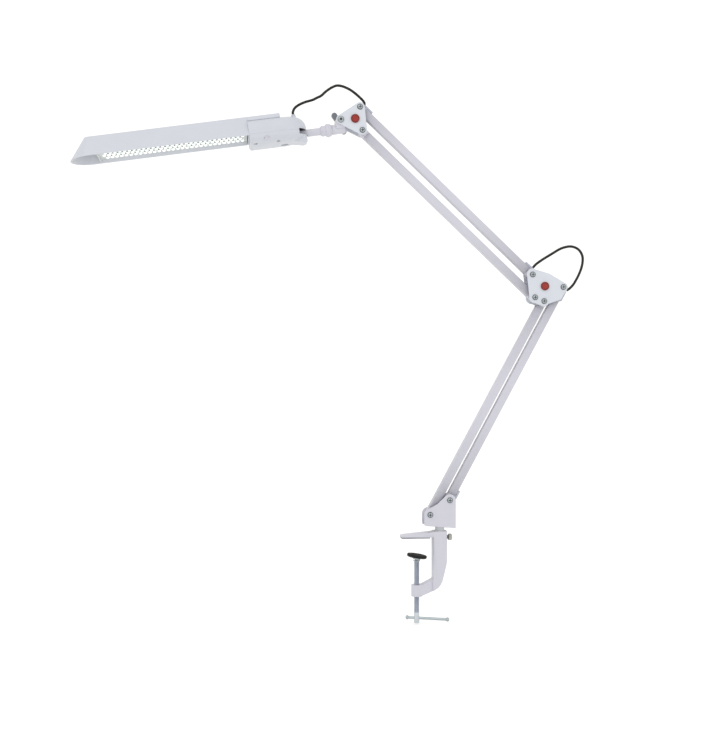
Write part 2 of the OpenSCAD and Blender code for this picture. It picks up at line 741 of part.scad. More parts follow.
module neck_rod() color(paint) in_neck() difference() {
    union() {
        translate([-rod_start, 0, 0]) rotate([0, -90, 0]) cylinder(d = rod_d, h = rod_end - rod_start);
        translate([-rod_start + bore_depth - 8.6, 0, 0]) rotate([0, -90, 0])
            cylinder(d = rod_stub, h = bore_depth - 8);
        translate([-neck_len, 0, -eye_t / 2]) cylinder(r = eye_r, h = eye_t);
        translate([-neck_len, -rod_d / 2, -eye_t / 2])
            cube([neck_len - rod_end + 1, rod_d, eye_t]);
        translate([-rod_end, 0, 0]) rotate([0, -90, 0])
            cylinder(d1 = rod_d, d2 = rod_d - 3, h = 0.4);
    }
    translate([-neck_len, 0, -eye_t]) cylinder(d = pin_d + 2 * run, h = 2 * eye_t);
}

// Head: children are drawn in the neck's frame moved to the swivel axis, so the head runs
// from the origin along -X

module in_head() {
    in_neck() translate([-neck_len, 0, 0]) children();
}

// Half of the housing's cross section, drawn in by the wall w: a full belly below the
// neck's axis, an upright side and a rounded shoulder
belly_n = 2.4;
shoulder_r = 16;
function belly(a, b, n = 14) = [for (i = [0 : n]) let (t = 90 - 90 * i / n)
    [a * pow(cos(t), 2 / belly_n), -b * pow(sin(t), 2 / belly_n)]];
// Half width of the belly at the height z, and the slope of its wall there
function belly_y(z) = end_r * pow(1 - pow(-z / housing_below, belly_n), 1 / belly_n);
function belly_slope(z) = atan2(pow(-z, belly_n - 1) / pow(housing_below, belly_n),
                                pow(belly_y(z), belly_n - 1) / pow(end_r, belly_n));
function housing_half(w) = concat(
    belly(end_r - w, housing_below - w),
    arc(end_r - shoulder_r, housing_above - shoulder_r, shoulder_r - w, 0, 90, 10),
    [[0, housing_above - w]]);

function mirrored(ps) = concat(ps, [for (i = [len(ps) - 1 : -1 : 0]) [-ps[i].x, ps[i].y]]);

module housing_body(w) {
    // Round end about the swivel axis
    rotate_extrude($fn = 96) polygon(housing_half(w));
    // Straight part towards the shade
    translate([-housing_len + w, 0, 0]) rotate([90, 0, 90])
        linear_extrude(housing_len - w) polygon(mirrored(housing_half(w)));
}

split_z = 1.5;
// The housing's top rises in a wedge under the shade's tongue
wedge_h = shade_h - shade_wall - housing_above - 0.6;

module wedge(drop) {
    intersection() {
        across(-end_r, end_r) polygon([[-housing_len, 0], [-housing_len + tongue_len - 1, 0],
            [-housing_len + tongue_len - 1, housing_above - drop],
            [-housing_len, housing_above + wedge_h - drop]]);
        rotate([90, 0, 90]) translate([0, 0, -housing_len]) linear_extrude(housing_len)
            polygon([for (p = [[1, 1], [1, 0], [-1, 0], [-1, 1]])
                p.y > 0 ? [p.x * (top_w / 2 - 1.6 - drop), shade_h]
                        : [p.x * (top_w / 2 + 4 - drop), housing_above - 6]]);
    }
}

module slot_cut() {
    translate([0, 0, -slot_h / 2]) linear_extrude(slot_h) intersection() {
        circle(r = end_r + 5);
        polygon([[0, 0], along([0, 0], 90, slot_angle), [90, 0], along([0, 0], 90, -slot_angle)]);
    }
    translate([0, 0, -slot_h / 2]) cylinder(r = eye_r + 1.2, h = slot_h);
}

screw_y = 23;
screw_spots = [[-housing_len + 8, screw_y], [-housing_len + 8, -screw_y],
               [-10, screw_y], [-10, -screw_y]];
screw_post_d = 6.4;
// The posts end in the roof, inside the shoulder over their outer edge
post_edge = screw_y + screw_post_d / 2 - end_r + shoulder_r;
screw_post_top = housing_above - shoulder_r + sqrt(pow(shoulder_r, 2) - pow(post_edge, 2)) - 0.7;
// Level of the screw heads' seats and of the swivel pin's seat
screw_seat = -6.4;
pin_seat = -9.6;
housing_screw_d = 2.6;
housing_head_d = 5;
button_x = -27;
button_z = -6.2;

module housing_top() color(paint) in_head() difference() {
    union() {
        difference() {
            union() {
                intersection() {
                    housing_body(0);
                    translate([-100, -50, split_z]) cube([200, 100, 60]);
                }
                wedge(0);
            }
            housing_body(housing_wall);
            slot_cut();
        }
        // Boss over the neck's eye
        translate([0, 0, eye_t / 2 + gap])
            cylinder(d = 14, h = housing_above - housing_wall / 2 - eye_t / 2 - gap);
        // Screw posts and the posts of the driver board
        for (p = screw_spots) translate([p.x, p.y, split_z + 0.1])
            cylinder(d = screw_post_d, h = screw_post_top - split_z - 0.1);
        for (x = [-housing_len + 8, -housing_len + 32]) for (y = [-13, 13])
            translate([x, y, driver_z + 1.6])
                cylinder(d = 4, h = housing_above - housing_wall / 2 - driver_z - 1.6);
    }
    translate([0, 0, -1]) cylinder(d = pin_d - 2 + 2 * run, h = 15);
    for (p = screw_spots) translate([p.x, p.y, -1]) cylinder(d = housing_screw_d + 2 * run, h = 12);
    translate(gland_at) {
        cylinder(d = gland_stem_d + 2 * run, h = 20, center = true);
        translate([0, 0, gland_seat]) cylinder(r = gland_r + run, h = 20);
    }
}

// A heel below the round end, deepest at its right
heel_w = 32;
heel_depth = 15.6;

module heel() {
    intersection() {
        cylinder(r = end_r - 0.2, h = 2 * heel_depth, center = true, $fn = 96);
        across(-heel_w / 2, heel_w / 2) polygon([[8, -4], [8, -heel_depth + 5],
            [end_r - 6, -heel_depth], [end_r - 2.4, -heel_depth + 1.2],
            [end_r + 1, -heel_depth + 4.5], [end_r + 1, -4]]);
        rotate([90, 0, 90]) linear_extrude(2 * end_r) polygon([[-heel_w / 2, -4],
            [-heel_w / 2, 6 - heel_depth], [5 - heel_w / 2, -heel_depth - 1],
            [heel_w / 2 - 5, -heel_depth - 1], [heel_w / 2, 6 - heel_depth], [heel_w / 2, -4]]);
    }
}

// The lower corner at the front of the housing is rounded off along its width
corner_r = 8;

module corner_cut() {
    translate([-housing_len, 0, -housing_below]) across(-end_r - 1, end_r + 1) difference() {
        translate([-1, -1]) square(corner_r + 1);
        translate([corner_r, corner_r]) circle(r = corner_r);
    }
}

module housing_bottom() color(paint) in_head() difference() {
    union() {
        difference() {
            union() {
                intersection() {
                    housing_body(0);
                    translate([-100, -50, -60]) cube([200, 100, 60 + split_z]);
                }
                heel();
            }
            housing_body(housing_wall);
            slot_cut();
            corner_cut();
        }
        intersection() {
            housing_body(0.5);
            union() {
                translate([0, 0, -housing_below]) cylinder(d = 15, h = housing_below - eye_t / 2 - gap);
                for (p = screw_spots) translate([p.x, p.y, -housing_below])
                    cylinder(d = screw_post_d + 1.6, h = housing_below + split_z);
            }
        }
    }
    translate([0, 0, -housing_below - 1]) cylinder(d = pin_d + 2 * run, h = 20);
    translate([0, 0, -housing_below - 1]) cylinder(d = 12, h = pin_seat + housing_below + 1);
    for (p = screw_spots) translate([p.x, p.y, -housing_below - 1]) {
        cylinder(d = housing_screw_d + 0.4, h = 20);
        cylinder(d = housing_head_d + 0.6, h = screw_seat + housing_below + 1);
    }
    on_button() translate([0, 0, -12]) cylinder(d = button_d + 0.3, h = 24);
}

// Shade: a trough with sloping sides and a rounded, sloping nose

rim_z = 0.4;
roof_nose = 7;

module rim_outline(w) {
    union() {
        translate([-shade_len, -mouth_w / 2 + w]) square([shade_len, mouth_w - 2 * w]);
        translate([-shade_len, 0]) scale([(nose_len - w) / (mouth_w / 2 - w), 1])
            circle(r = mouth_w / 2 - w, $fn = 64);
    }
}

module roof_outline(w) {
    union() {
        translate([-shade_len, -top_w / 2 + w]) square([shade_len, top_w - 2 * w]);
        translate([-shade_len, 0]) scale([(roof_nose - w) / (top_w / 2 - w), 1])
            circle(r = top_w / 2 - w, $fn = 48);
    }
}

module shade_body(w, z0, z1) {
    hull() {
        translate([0, 0, z0]) linear_extrude(eps) rim_outline(w);
        translate([0, 0, z1 - eps]) linear_extrude(eps) roof_outline(w);
    }
}

module head_shade() color(paint) in_head() translate([-housing_len, 0, 0]) difference() {
    union() {
        shade_body(0, rim_z, shade_h);
        // Tongue over the housing, its underside on the housing's wedge
        difference() {
            translate([-eps, 0, 0]) rotate([90, 0, 90]) linear_extrude(tongue_len)
                polygon([[-top_w / 2, shade_h], [top_w / 2, shade_h],
                         [top_w / 2 + 2.2, housing_above - 1], [-top_w / 2 - 2.2, housing_above - 1]]);
            translate([housing_len, 0, 0]) {
                housing_body(-0.02);
                wedge(-0.02);
            }
            translate([-1, -top_w, housing_above - 20]) cube([tongue_len + 3, 2 * top_w, 20]);
        }
    }
    difference() {
        shade_body(shade_wall, rim_z - 1, shade_h - shade_wall);
        translate([-shade_wall, -mouth_w, 0]) cube([20, 2 * mouth_w, 2 * shade_h]);
    }
}

// LED board: a folded tray that fits between the shade's sloping walls, with a lip at
// each end. inner_y is half the shade's inner width at the height z, less a small gap.

board_from = 3;
board_len = shade_len - 13;
board_t = 1.6;
tray_top = board_z + 7;
lip_h = 3.6;

function inner_y(z) = mouth_w / 2 - shade_wall - 0.1 - (mouth_w - top_w) / 2
    * (z - rim_z + 1) / (shade_h - shade_wall - rim_z + 1);

module tray_slice(at, len, ps) {
    translate([-at - len, 0, 0]) rotate([90, 0, 90]) linear_extrude(len) polygon(mirrored(ps));
}

module led_board() color([0.9, 0.91, 0.9]) in_head() translate([-housing_len, 0, 0]) {
    tray_slice(board_from, board_len, [[0, board_z], [inner_y(board_z), board_z],
        [inner_y(tray_top), tray_top], [inner_y(tray_top) - board_t, tray_top],
        [inner_y(board_z + board_t) - board_t, board_z + board_t], [0, board_z + board_t]]);
    for (at = [board_from, board_from + board_len - 1.2])
        tray_slice(at, 1.2, [[0, board_z - lip_h], [inner_y(board_z - lip_h), board_z - lip_h],
            [inner_y(board_z), board_z + eps], [0, board_z + eps]]);
}

led_base_h = 1.2;
led_lens_h = 1;

module led() {
    translate([0, 0, -led_base_h]) cylinder(d = led_d, h = led_base_h, $fn = 24);
    translate([0, 0, -led_base_h - led_lens_h])
        cylinder(d1 = led_d - 1.8, d2 = led_d, h = led_lens_h + eps, $fn = 24);
}

module leds() color([0.95, 0.97, 1]) in_head() translate([-housing_len, 0, 0])
    for (i = [0 : led_columns - 1]) for (j = [-1 : 1])
        translate([-board_from - 6 - led_pitch * i - (j == 0 ? led_pitch / 2 : 0),
                   led_row * j, board_z]) led();

driver_z = 12;

module driver_board() color([0.2, 0.45, 0.3]) in_head() {
    translate([-housing_len + 4, -19, driver_z]) cube([32, 38, 1.6]);
    translate([-housing_len + 12, -9, driver_z - 9]) cube([15, 18, 9 + eps]);
    for (y = [-14.5, 14.5]) translate([-housing_len + 30, y, driver_z - 8])
        cylinder(d = 6, h = 8 + eps);
}

// The button stands square to the belly's slope. Its flange lies behind the wall
button_out = 1.6;
button_flange_t = 1.2;

module on_button() {
    translate([button_x, -belly_y(button_z), button_z])
        rotate([90 + belly_slope(button_z), 0, 0]) children();
}

module power_button() color([0.8, 0.8, 0.84]) in_head() on_button() {
    translate([0, 0, -5]) cylinder(d = button_d, h = 5 + button_out - 0.5);
    translate([0, 0, button_out - 0.5 - eps]) cylinder(d1 = button_d, d2 = button_d - 1.2, h = 0.5);
    translate([0, 0, -5 - button_flange_t]) cylinder(d = button_d + 1.4, h = button_flange_t + eps);
}

gland_at = [19, 0, housing_above];
gland_stem_d = 6;
gland_r = 4.4;
gland_seat = -0.6;
gland_top = 6;

module cable_gland() color([0.82, 0.82, 0.86]) in_head() translate(gland_at)
    rotate_extrude() polygon([[cord_d / 2 + run, -housing_wall - 0.4],
        [gland_stem_d / 2, -housing_wall - 0.4], [gland_stem_d / 2, gland_seat],
        [gland_r, gland_seat], [gland_r, 1.2], [3.4, 3], [3.1, gland_top - 0.6],
        [2.7, gland_top], [cord_d / 2 + run, gland_top]]);

module swivel_pin() color(zinc) in_head() {
    translate([0, 0, pin_seat - 2.4]) cylinder(d = 11.4, h = 2.4);
    translate([0, 0, pin_seat - eps]) cylinder(d = pin_d, h = 2.8 - pin_seat);
    translate([0, 0, 2.7]) cylinder(d = pin_d - 2, h = 10);
}

module housing_screws() color(zinc) in_head() for (p = screw_spots) translate([p.x, p.y, 0]) {
    translate([0, 0, screw_seat - 2]) cylinder(d = housing_head_d, h = 2);
    translate([0, 0, screw_seat - eps]) cylinder(d = housing_screw_d, h = 9 - screw_seat);
}

// Cords: [x, y, z] points chosen along each run

// A tube of n sides swept along the points ps
module cord(ps, d, n = 8) {
    last = len(ps) - 1;
    function dir(i) = let (v = ps[min(last, i + 1)] - ps[max(0, i - 1)]) v / norm(v);
    function ring(i) = let (t = dir(i), b = [0, 1, 0], a = cross(b, t), u = a / norm(a),
                            v = cross(t, u))
        [for (k = [0 : n - 1]) ps[i] + d / 2 * (cos(360 * k / n) * u + sin(360 * k / n) * v)];
    points = [for (i = [0 : last]) each ring(i)];
    sides = [for (i = [0 : last - 1]) for (k = [0 : n - 1]) let (m = (k + 1) % n)
        each [[i * n + k, i * n + m, (i + 1) * n + m], [i * n + k, (i + 1) * n + m, (i + 1) * n + k]]];
    ends = [[for (k = [n - 1 : -1 : 0]) k], [for (k = [0 : n - 1]) last * n + k]];
    polyhedron(points, concat(sides, ends), convexity = 6);
}

elbow_run = [[178.6, 0, 408.6], [184, 0, 414.4], [191, 0, 419.6], [200, 0, 425.4],
             [211, 0, 432], [221, 0, 438], [230, 0, 441.4], [238, 0, 442.6],
             [245, 0, 441.4], [251, 0, 438.2], [255, 0, 433.4], [257.4, 0, 427.6],
             [257.8, 0, 421], [256.8, 0, 414], [254.6, 0, 406.6], [251.4, 0, 399],
             [247.4, 0, 391.4], [243, 0, 384.4], [237.6, 0, 378.6], [232.4, 0, 375.2]];
head_front_run = [[-185.7, 0, 629.7], [-186.3, 0, 633.7], [-186.7, 0, 637], [-185.2, 0, 641.4],
                  [-182, 0, 645.4], [-176, 0, 649.4], [-168, 0, 653], [-157.6, 0, 656.2],
                  [-151, 0, 659.6]];
head_rear_run = [[-151, 0, 659.6], [-144.4, 0, 663], [-138, 0, 669], [-131.6, 0, 673.8],
                 [-126, 0, 677], [-121, 0, 678.8], [-114.4, 0, 678.4], [-107.4, 0, 676.2],
                 [-100.4, 0, 672.8], [-93.4, 0, 668], [-86.8, 0, 662.4], [-82.4, 0, 658.2],
                 [-79.6, 0, 654.4], [-79.25, 0, 650.6]];

module elbow_cord() color(black) cord(elbow_run, cord_d);
module head_cord_front() color(black) cord(head_front_run, cord_d);
module head_cord_rear() color(black) cord(head_rear_run, cord_d);

clamp_frame();
jaw_pad();
swivel_washer();
clamp_screw();
thrust_washer();
tommy_bar();
pad_cup();
pad_rubber();
lock_screw();
swivel_post();
base_bracket();
base_screws();
base_nuts();
base_washers();
lower_left_tube();
lower_left_ends();
lower_right_tube();
lower_right_ends();
lower_guides();
lower_spring();
elbow_front_plate();
elbow_back_plate();
elbow_spacer();
elbow_caps();
elbow_screws();
elbow_nuts();
elbow_washers();
upper_top_tube();
upper_top_ends();
upper_bottom_tube();
upper_bottom_ends();
upper_guides();
upper_spring();
head_front_plate();
head_back_plate();
head_spacer();
head_caps();
head_screws();
head_nuts();
head_washers();
tilt_bolt();
wing_nut();
neck_socket();
neck_collar();
neck_rod();
head_shade();
housing_top();
housing_bottom();
led_board();
leds();
driver_board();
power_button();
cable_gland();
swivel_pin();
housing_screws();
elbow_cord();
head_cord_rear();
head_cord_front();
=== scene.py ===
"""Dresses the clamp lamp's frame: cords, paint, screws and a lit head, on a pale studio floor."""
import json
import math

import bmesh
import bpy
from bpy.props import FloatProperty, FloatVectorProperty, IntProperty, PointerProperty
from mathutils import Matrix, Vector


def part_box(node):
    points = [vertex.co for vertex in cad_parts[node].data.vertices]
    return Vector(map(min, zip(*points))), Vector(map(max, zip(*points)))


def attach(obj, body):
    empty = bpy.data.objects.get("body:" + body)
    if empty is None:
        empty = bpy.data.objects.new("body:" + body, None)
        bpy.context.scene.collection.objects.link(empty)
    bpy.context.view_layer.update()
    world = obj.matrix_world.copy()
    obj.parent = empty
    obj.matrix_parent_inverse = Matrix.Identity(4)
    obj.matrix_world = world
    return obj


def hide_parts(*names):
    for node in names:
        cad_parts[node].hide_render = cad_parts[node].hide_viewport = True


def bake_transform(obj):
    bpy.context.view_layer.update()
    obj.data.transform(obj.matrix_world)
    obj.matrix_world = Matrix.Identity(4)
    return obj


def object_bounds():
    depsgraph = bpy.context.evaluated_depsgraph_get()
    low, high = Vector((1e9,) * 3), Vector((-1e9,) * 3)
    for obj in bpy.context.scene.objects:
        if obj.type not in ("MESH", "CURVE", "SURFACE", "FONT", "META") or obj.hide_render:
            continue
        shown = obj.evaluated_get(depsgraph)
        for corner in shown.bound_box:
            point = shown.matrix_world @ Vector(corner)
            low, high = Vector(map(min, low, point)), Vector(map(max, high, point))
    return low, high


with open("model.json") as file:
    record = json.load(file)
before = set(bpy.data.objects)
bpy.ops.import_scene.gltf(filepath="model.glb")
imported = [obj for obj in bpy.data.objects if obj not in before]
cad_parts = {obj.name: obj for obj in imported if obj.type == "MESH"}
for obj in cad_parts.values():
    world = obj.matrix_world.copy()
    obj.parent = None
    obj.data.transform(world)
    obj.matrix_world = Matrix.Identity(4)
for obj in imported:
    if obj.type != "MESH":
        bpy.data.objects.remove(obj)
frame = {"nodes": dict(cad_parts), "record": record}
CAD_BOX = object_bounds()

bl_info = {
    "name": "Clamp lamp",
    "version": (1, 0, 0),
    "blender": (4, 5, 0),
    "location": "View3D > Sidebar > Lamp",
    "description": "Dresses a clamp lamp frame with finished pieces",
    "category": "Object",
}

MM = 0.001
NODES = frame["nodes"]
RECORD = frame["record"]
MOTION = RECORD["behaviour"]
PIVOT = {joint["name"]: Vector(joint["pos_m"]) for joint in MOTION["joints"] if "pos_m" in joint}
SLOTS = {part["node"]: part["material_slot"] for part in RECORD["subparts"]}
BODIES = {node: body for body, nodes in MOTION["bodies"].items() for node in nodes}

BASE_RIGHT = PIVOT["lower_arm"]
BASE_LEFT = PIVOT["lower_left_pivot"]
ELBOW_RIGHT = PIVOT["elbow_level"]
ELBOW_LEFT = BASE_LEFT + ELBOW_RIGHT - BASE_RIGHT
ELBOW_TOP = PIVOT["upper_arm"]
ELBOW_BOTTOM = PIVOT["upper_bottom_pivot"]
HEAD_TOP = PIVOT["head_level"]
HEAD_BOTTOM = ELBOW_BOTTOM + HEAD_TOP - ELBOW_TOP
TILT = PIVOT["head_tilt"]


def rotation(degrees, axis):
    """A turn about X, Y or Z."""
    return Matrix.Rotation(math.radians(degrees), 4, axis)


# The neck and the head slope down to the left; their own +X points back up the neck
SLOPE = rotation(-8.5, "Y")
NECK = Matrix.Translation(PIVOT["neck_twist"]) @ SLOPE
HEAD = Matrix.Translation(PIVOT["head_swivel"]) @ SLOPE
# The clamp pad leans on the ball at the screw's top
BALL = Matrix.Translation((0, 0, -0.030)) @ rotation(8.7, "Y")

# The square tubes, and the pivots that each runs between
ARMS = {"lower_left": (BASE_LEFT, ELBOW_LEFT), "lower_right": (BASE_RIGHT, ELBOW_RIGHT),
        "upper_top": (ELBOW_TOP, HEAD_TOP), "upper_bottom": (ELBOW_BOTTOM, HEAD_BOTTOM)}

BRACKET_HALF = 11.5 * MM
CORD = 3.9 * MM
# The height, in millimetres, that the clamp screw's thread ends at
THREAD_LOW = -112.0

# Corners closer together than this become one
WELD = 1e-7

# An edge whose faces turn by more than this is a fold in a sliver, and isn't rounded
FOLD = math.radians(150)

# The cords' routes, in the plane of the arms, the same points as in the frame's source
ELBOW_RUN = [(178.6, 408.6), (184, 414.4), (191, 419.6), (200, 425.4), (211, 432), (221, 438),
             (230, 441.4), (238, 442.6), (245, 441.4), (251, 438.2), (255, 433.4), (257.4, 427.6),
             (257.8, 421), (256.8, 414), (254.6, 406.6), (251.4, 399), (247.4, 391.4),
             (243, 384.4), (237.6, 378.6), (232.4, 375.2)]
HEAD_RUN = [(-185.7, 629.7), (-186.3, 633.7), (-186.7, 637), (-185.2, 641.4), (-182, 645.4),
            (-176, 649.4), (-168, 653), (-157.6, 656.2), (-151, 659.6), (-144.4, 663),
            (-138, 669), (-131.6, 673.8), (-126, 677), (-121, 678.8), (-114.4, 678.4),
            (-107.4, 676.2), (-100.4, 672.8), (-93.4, 668), (-86.8, 662.4), (-82.4, 658.2),
            (-79.6, 654.4), (-79.25, 650.6)]

# The stretches of the cords: each spans one joint, and meets the next on the body between.
# Name, route, its first and last point, the line that it bends along, bodies, nodes
STRETCHES = (
    ("elbow_cord_upper", ELBOW_RUN, 0, 32, ((171.7, 452.6), (228.8, 461.7)),
     ("upper_top", "elbow"), ("elbow_cord",)),
    ("elbow_cord_lower", ELBOW_RUN, 32, 76, ((264.6, 388.2), (232, 375.8)),
     ("elbow", "lower_right"), ("elbow_cord",)),
    ("head_cord_gland", HEAD_RUN, 0, 23, ((-186.3, 633.7), (-174.2, 650.3)),
     ("head", "rod"), ("head_cord_front",)),
    ("head_cord_twist", HEAD_RUN, 23, 38, ((-173.3, 664.5), (-142.5, 671.1)),
     ("rod", "neck"), ("head_cord_front", "head_cord_rear")),
    ("head_cord_tilt", HEAD_RUN, 38, 60, ((-139.6, 667.5), (-109.2, 676.9)),
     ("neck", "head_bracket"), ("head_cord_rear",)),
    ("head_cord_arm", HEAD_RUN, 60, 84, ((-83.7, 678.7), (-79.3, 650.3)),
     ("head_bracket", "upper_top"), ("head_cord_rear",)))


# Sizes and colours that a user may change

def length_property(name, description, default, least=0):
    """A length in metres that is at least so long."""
    return FloatProperty(name=name, description=description, default=default, min=least,
                         unit="LENGTH")


def colour_property(name, description, default):
    """A linear colour."""
    return FloatVectorProperty(name=name, description=description, default=default, size=3,
                               subtype="COLOR")


class LampSizes(bpy.types.PropertyGroup):
    """Sizes of the details that the frame leaves plain."""
    edge_round: length_property("Edge round", "Rounding of the painted edges", 0.5 * MM)
    tube_round: length_property("Tube corner", "Corner radius of the square tubes", 1.3 * MM,
                                0.2 * MM)
    thread_pitch: length_property("Thread pitch", "Pitch of the clamp screw", 1.25 * MM, 0.5 * MM)
    thread_depth: length_property("Thread depth", "Depth of the clamp screw's thread", 0.55 * MM)
    knurls: IntProperty(name="Knurls", description="Ribs round the lock screw's head",
                        default=26, min=8)
    led_count: IntProperty(name="LEDs in a row", description="LEDs along the head",
                           default=30, min=2)
    led_pitch: length_property("LED pitch", "Spacing of the LEDs along the head", 6.9 * MM, 4 * MM)
    led_row: length_property("LED rows", "Spacing of the three rows of LEDs", 17 * MM, 4 * MM)


class LampColours(bpy.types.PropertyGroup):
    """Colours of the finishes."""
    paint: colour_property("Paint", "Powder coat of the arms and the clamp", (0.61, 0.605, 0.675))
    plate: colour_property("Plates", "Powder coat of the bracket plates", (0.66, 0.685, 0.745))
    head: colour_property("Head", "Paint of the shade and the housing", (0.61, 0.63, 0.685))
    zinc: colour_property("Zinc", "Plating of the screws and the tommy bar", (0.44, 0.49, 0.51))
    caps: colour_property("Caps", "Plastic of the two round caps", (0.33, 0.022, 0.014))
    cord: colour_property("Cord", "Sheath of the cords", (0.006, 0.006, 0.005))


class LampStudio(bpy.types.PropertyGroup):
    """The camera and the lights."""
    distance: length_property("Distance", "Camera distance from the lamp's plane", 1.7, 0.5)
    turn: FloatProperty(name="Turn", description="Turn of the camera about the upright",
                        default=math.radians(6.5), subtype="ANGLE")
    floor_drop: length_property("Floor", "Gap between the lamp and the floor", 2 * MM)
    sky: FloatProperty(name="Sky", description="Strength of the even light", default=0.89, min=0)
    key: FloatProperty(name="Key", description="Power of the soft main light in watts",
                       default=8.0, min=0)


# Shader and geometry trees

class Link:
    """A socket in a tree. Python's operators on it add Math nodes."""

    def __init__(self, tree, socket):
        self.tree, self.socket = tree, socket

    def _math(self, operation, first, second):
        return self.tree.node("ShaderNodeMath", {0: first, 1: second}, operation=operation)

    def __add__(self, other):
        return self._math("ADD", self, other)

    def __sub__(self, other):
        return self._math("SUBTRACT", self, other)

    def __rsub__(self, other):
        return self._math("SUBTRACT", other, self)

    def __mul__(self, other):
        return self._math("MULTIPLY", self, other)

    def __truediv__(self, other):
        return self._math("DIVIDE", self, other)

    def __mod__(self, other):
        return self._math("MODULO", self, other)

    def floor(self):
        return self.tree.node("ShaderNodeMath", {0: self}, operation="FLOOR")

    def wave(self):
        return self.tree.node("ShaderNodeMath", {0: self}, operation="SINE")


class Tree:
    """A node tree under construction."""

    def __init__(self, tree):
        self.tree = tree
        tree.nodes.clear()

    def node(self, kind, sockets=None, out=0, **settings):
        """Adds a node: its settings first, then values or links for its sockets."""
        made = self.tree.nodes.new(kind)
        for key, value in settings.items():
            setattr(made, key, value)
        for key, value in (sockets or {}).items():
            self.join(value, made.inputs[key])
        return Link(self, made.outputs[out]) if made.outputs else made

    def join(self, value, socket):
        """Links a socket or sets its value; a colour may come without its alpha."""
        if isinstance(value, Link):
            self.tree.links.new(value.socket, socket)
        elif socket.type == "RGBA" and len(value) == 3:
            socket.default_value = (*value, 1)
        else:
            socket.default_value = value


class Finish(Tree):
    """A material: a Principled shader with helpers for the patterns that feed it."""

    def __init__(self, name, **constants):
        self.material = bpy.data.materials.new(name)
        self.material.use_nodes = True
        super().__init__(self.material.node_tree)
        self.place = self.node("ShaderNodeTexCoord", out=3)
        self.shader = self.tree.nodes.new("ShaderNodeBsdfPrincipled")
        self.output = self.tree.nodes.new("ShaderNodeOutputMaterial")
        self.tree.links.new(self.shader.outputs[0], self.output.inputs[0])
        for key, value in constants.items():
            self.feed(key.replace("_", " "), value)

    def feed(self, name, value):
        """Sets or links an input of the Principled shader by its name in small letters."""
        self.join(value, next(s for s in self.shader.inputs if s.name.lower() == name))

    def noise(self, scale, detail=2.0, stretch=(1, 1, 1)):
        """Noise from 0 to 1 in the object's own space; scale is in waves to the metre."""
        spot = self.node("ShaderNodeMapping", {"Vector": self.place, "Scale": stretch})
        return self.node("ShaderNodeTexNoise", {"Vector": spot, "Scale": scale,
                                                "Detail": detail, "Roughness": 0.55})

    def spread(self, value, low, high):
        """Carries a 0 to 1 value into the span from low to high."""
        return value * (high - low) + low

    def between(self, mask, first, second):
        """A colour between two others."""
        return self.node("ShaderNodeMix", {0: mask, 6: first, 7: second}, 2, data_type="RGBA")

    def painted_shade(self, colour, darkest):
        """The colour, darkened by painted shade where the mesh is marked dark."""
        mark = self.node("ShaderNodeAttribute", None, 2, attribute_name="dark")
        return self.between(mark, colour, darkest)

    def ramp(self, value, low, high):
        """Zero below low, one above high and smooth between."""
        return self.node("ShaderNodeMapRange", {"Value": value, "From Min": low, "From Max": high},
                         interpolation_type="SMOOTHSTEP")

    def bump(self, height, depth, strength=1.0):
        """Feeds a height pattern of that depth in metres to the normal."""
        self.feed("normal", self.node("ShaderNodeBump", {
            "Strength": strength, "Distance": depth, "Height": height}))


def shade(colour, factor):
    """A colour made lighter or darker by a factor."""
    return tuple(min(1.0, c * factor) for c in colour)


def powder_coat(name, colour, peel=0.05 * MM):
    """Satin powder coat: fine orange peel, slight mottling, and dust in the film."""
    coat = Finish(name, ior=1.48, coat_roughness=0.25)
    mottle = coat.noise(22, 3)
    specks = coat.ramp(coat.noise(2600, 1), 0.72, 0.78)
    base = coat.between(mottle, shade(colour, 0.965), shade(colour, 1.03))
    coat.feed("base color", coat.between(specks * 0.35, base, shade(colour, 0.82)))
    coat.feed("roughness", coat.spread(coat.noise(60, 3), 0.34, 0.46))
    coat.feed("coat weight", coat.spread(mottle, 0.08, 0.2))
    coat.bump(coat.noise(1100, 2) + specks * 0.4, peel, 0.35)
    return coat.material


def moulded_plastic(name, colour, low=0.38, high=0.5, grain=1800):
    """Moulded plastic with a fine spark eroded grain."""
    plastic = Finish(name, ior=1.46)
    cloud = plastic.noise(35, 2)
    base = plastic.between(cloud, shade(colour, 0.96), shade(colour, 1.03))
    # Painted shade darkens the colour where the mesh is marked dark
    plastic.feed("base color", plastic.painted_shade(base, shade(colour, 0.3)))
    plastic.feed("roughness", plastic.spread(plastic.noise(150, 3), low, high))
    plastic.bump(plastic.noise(grain, 2), 0.03 * MM, 0.4)
    return plastic.material


def plated(name, colour, low=0.2, high=0.38, along=(1, 1, 1)):
    """Plated or bare metal with faint drawing marks and spangle."""
    metal = Finish(name, metallic=1.0)
    marks = metal.noise(900, 3, along)
    spangle = metal.noise(160, 2)
    base = metal.between(spangle, shade(colour, 0.9), shade(colour, 1.06))
    # Painted shade darkens the colour where the mesh is marked dark
    metal.feed("base color", metal.painted_shade(base, (0.03, 0.03, 0.032)))
    metal.feed("roughness", metal.spread(marks * 0.6 + spangle * 0.4, low, high))
    metal.bump(marks, 0.02 * MM, 0.3)
    return metal.material


def threaded_zinc(name, colour, end_colour):
    """The clamp screw's plating: greyer in the thread, bright on its smooth end."""
    metal = Finish(name, metallic=1.0)
    z = metal.node("ShaderNodeSeparateXYZ", {"Vector": metal.place}, 2)
    marks = metal.noise(900, 3, (1, 1, 0.2))
    thread = metal.between(marks, shade(colour, 0.85), shade(colour, 1.1))
    threaded = metal.ramp(z, (THREAD_LOW - 0.6) * MM, (THREAD_LOW + 0.4) * MM)
    base = metal.between(threaded, end_colour, thread)
    # Painted shade darkens the colour where the mesh is marked dark
    metal.feed("base color", metal.painted_shade(base, shade(colour, 0.3)))
    metal.feed("roughness", metal.spread(marks, 0.25, 0.4))
    metal.bump(marks, 0.02 * MM, 0.3)
    return metal.material


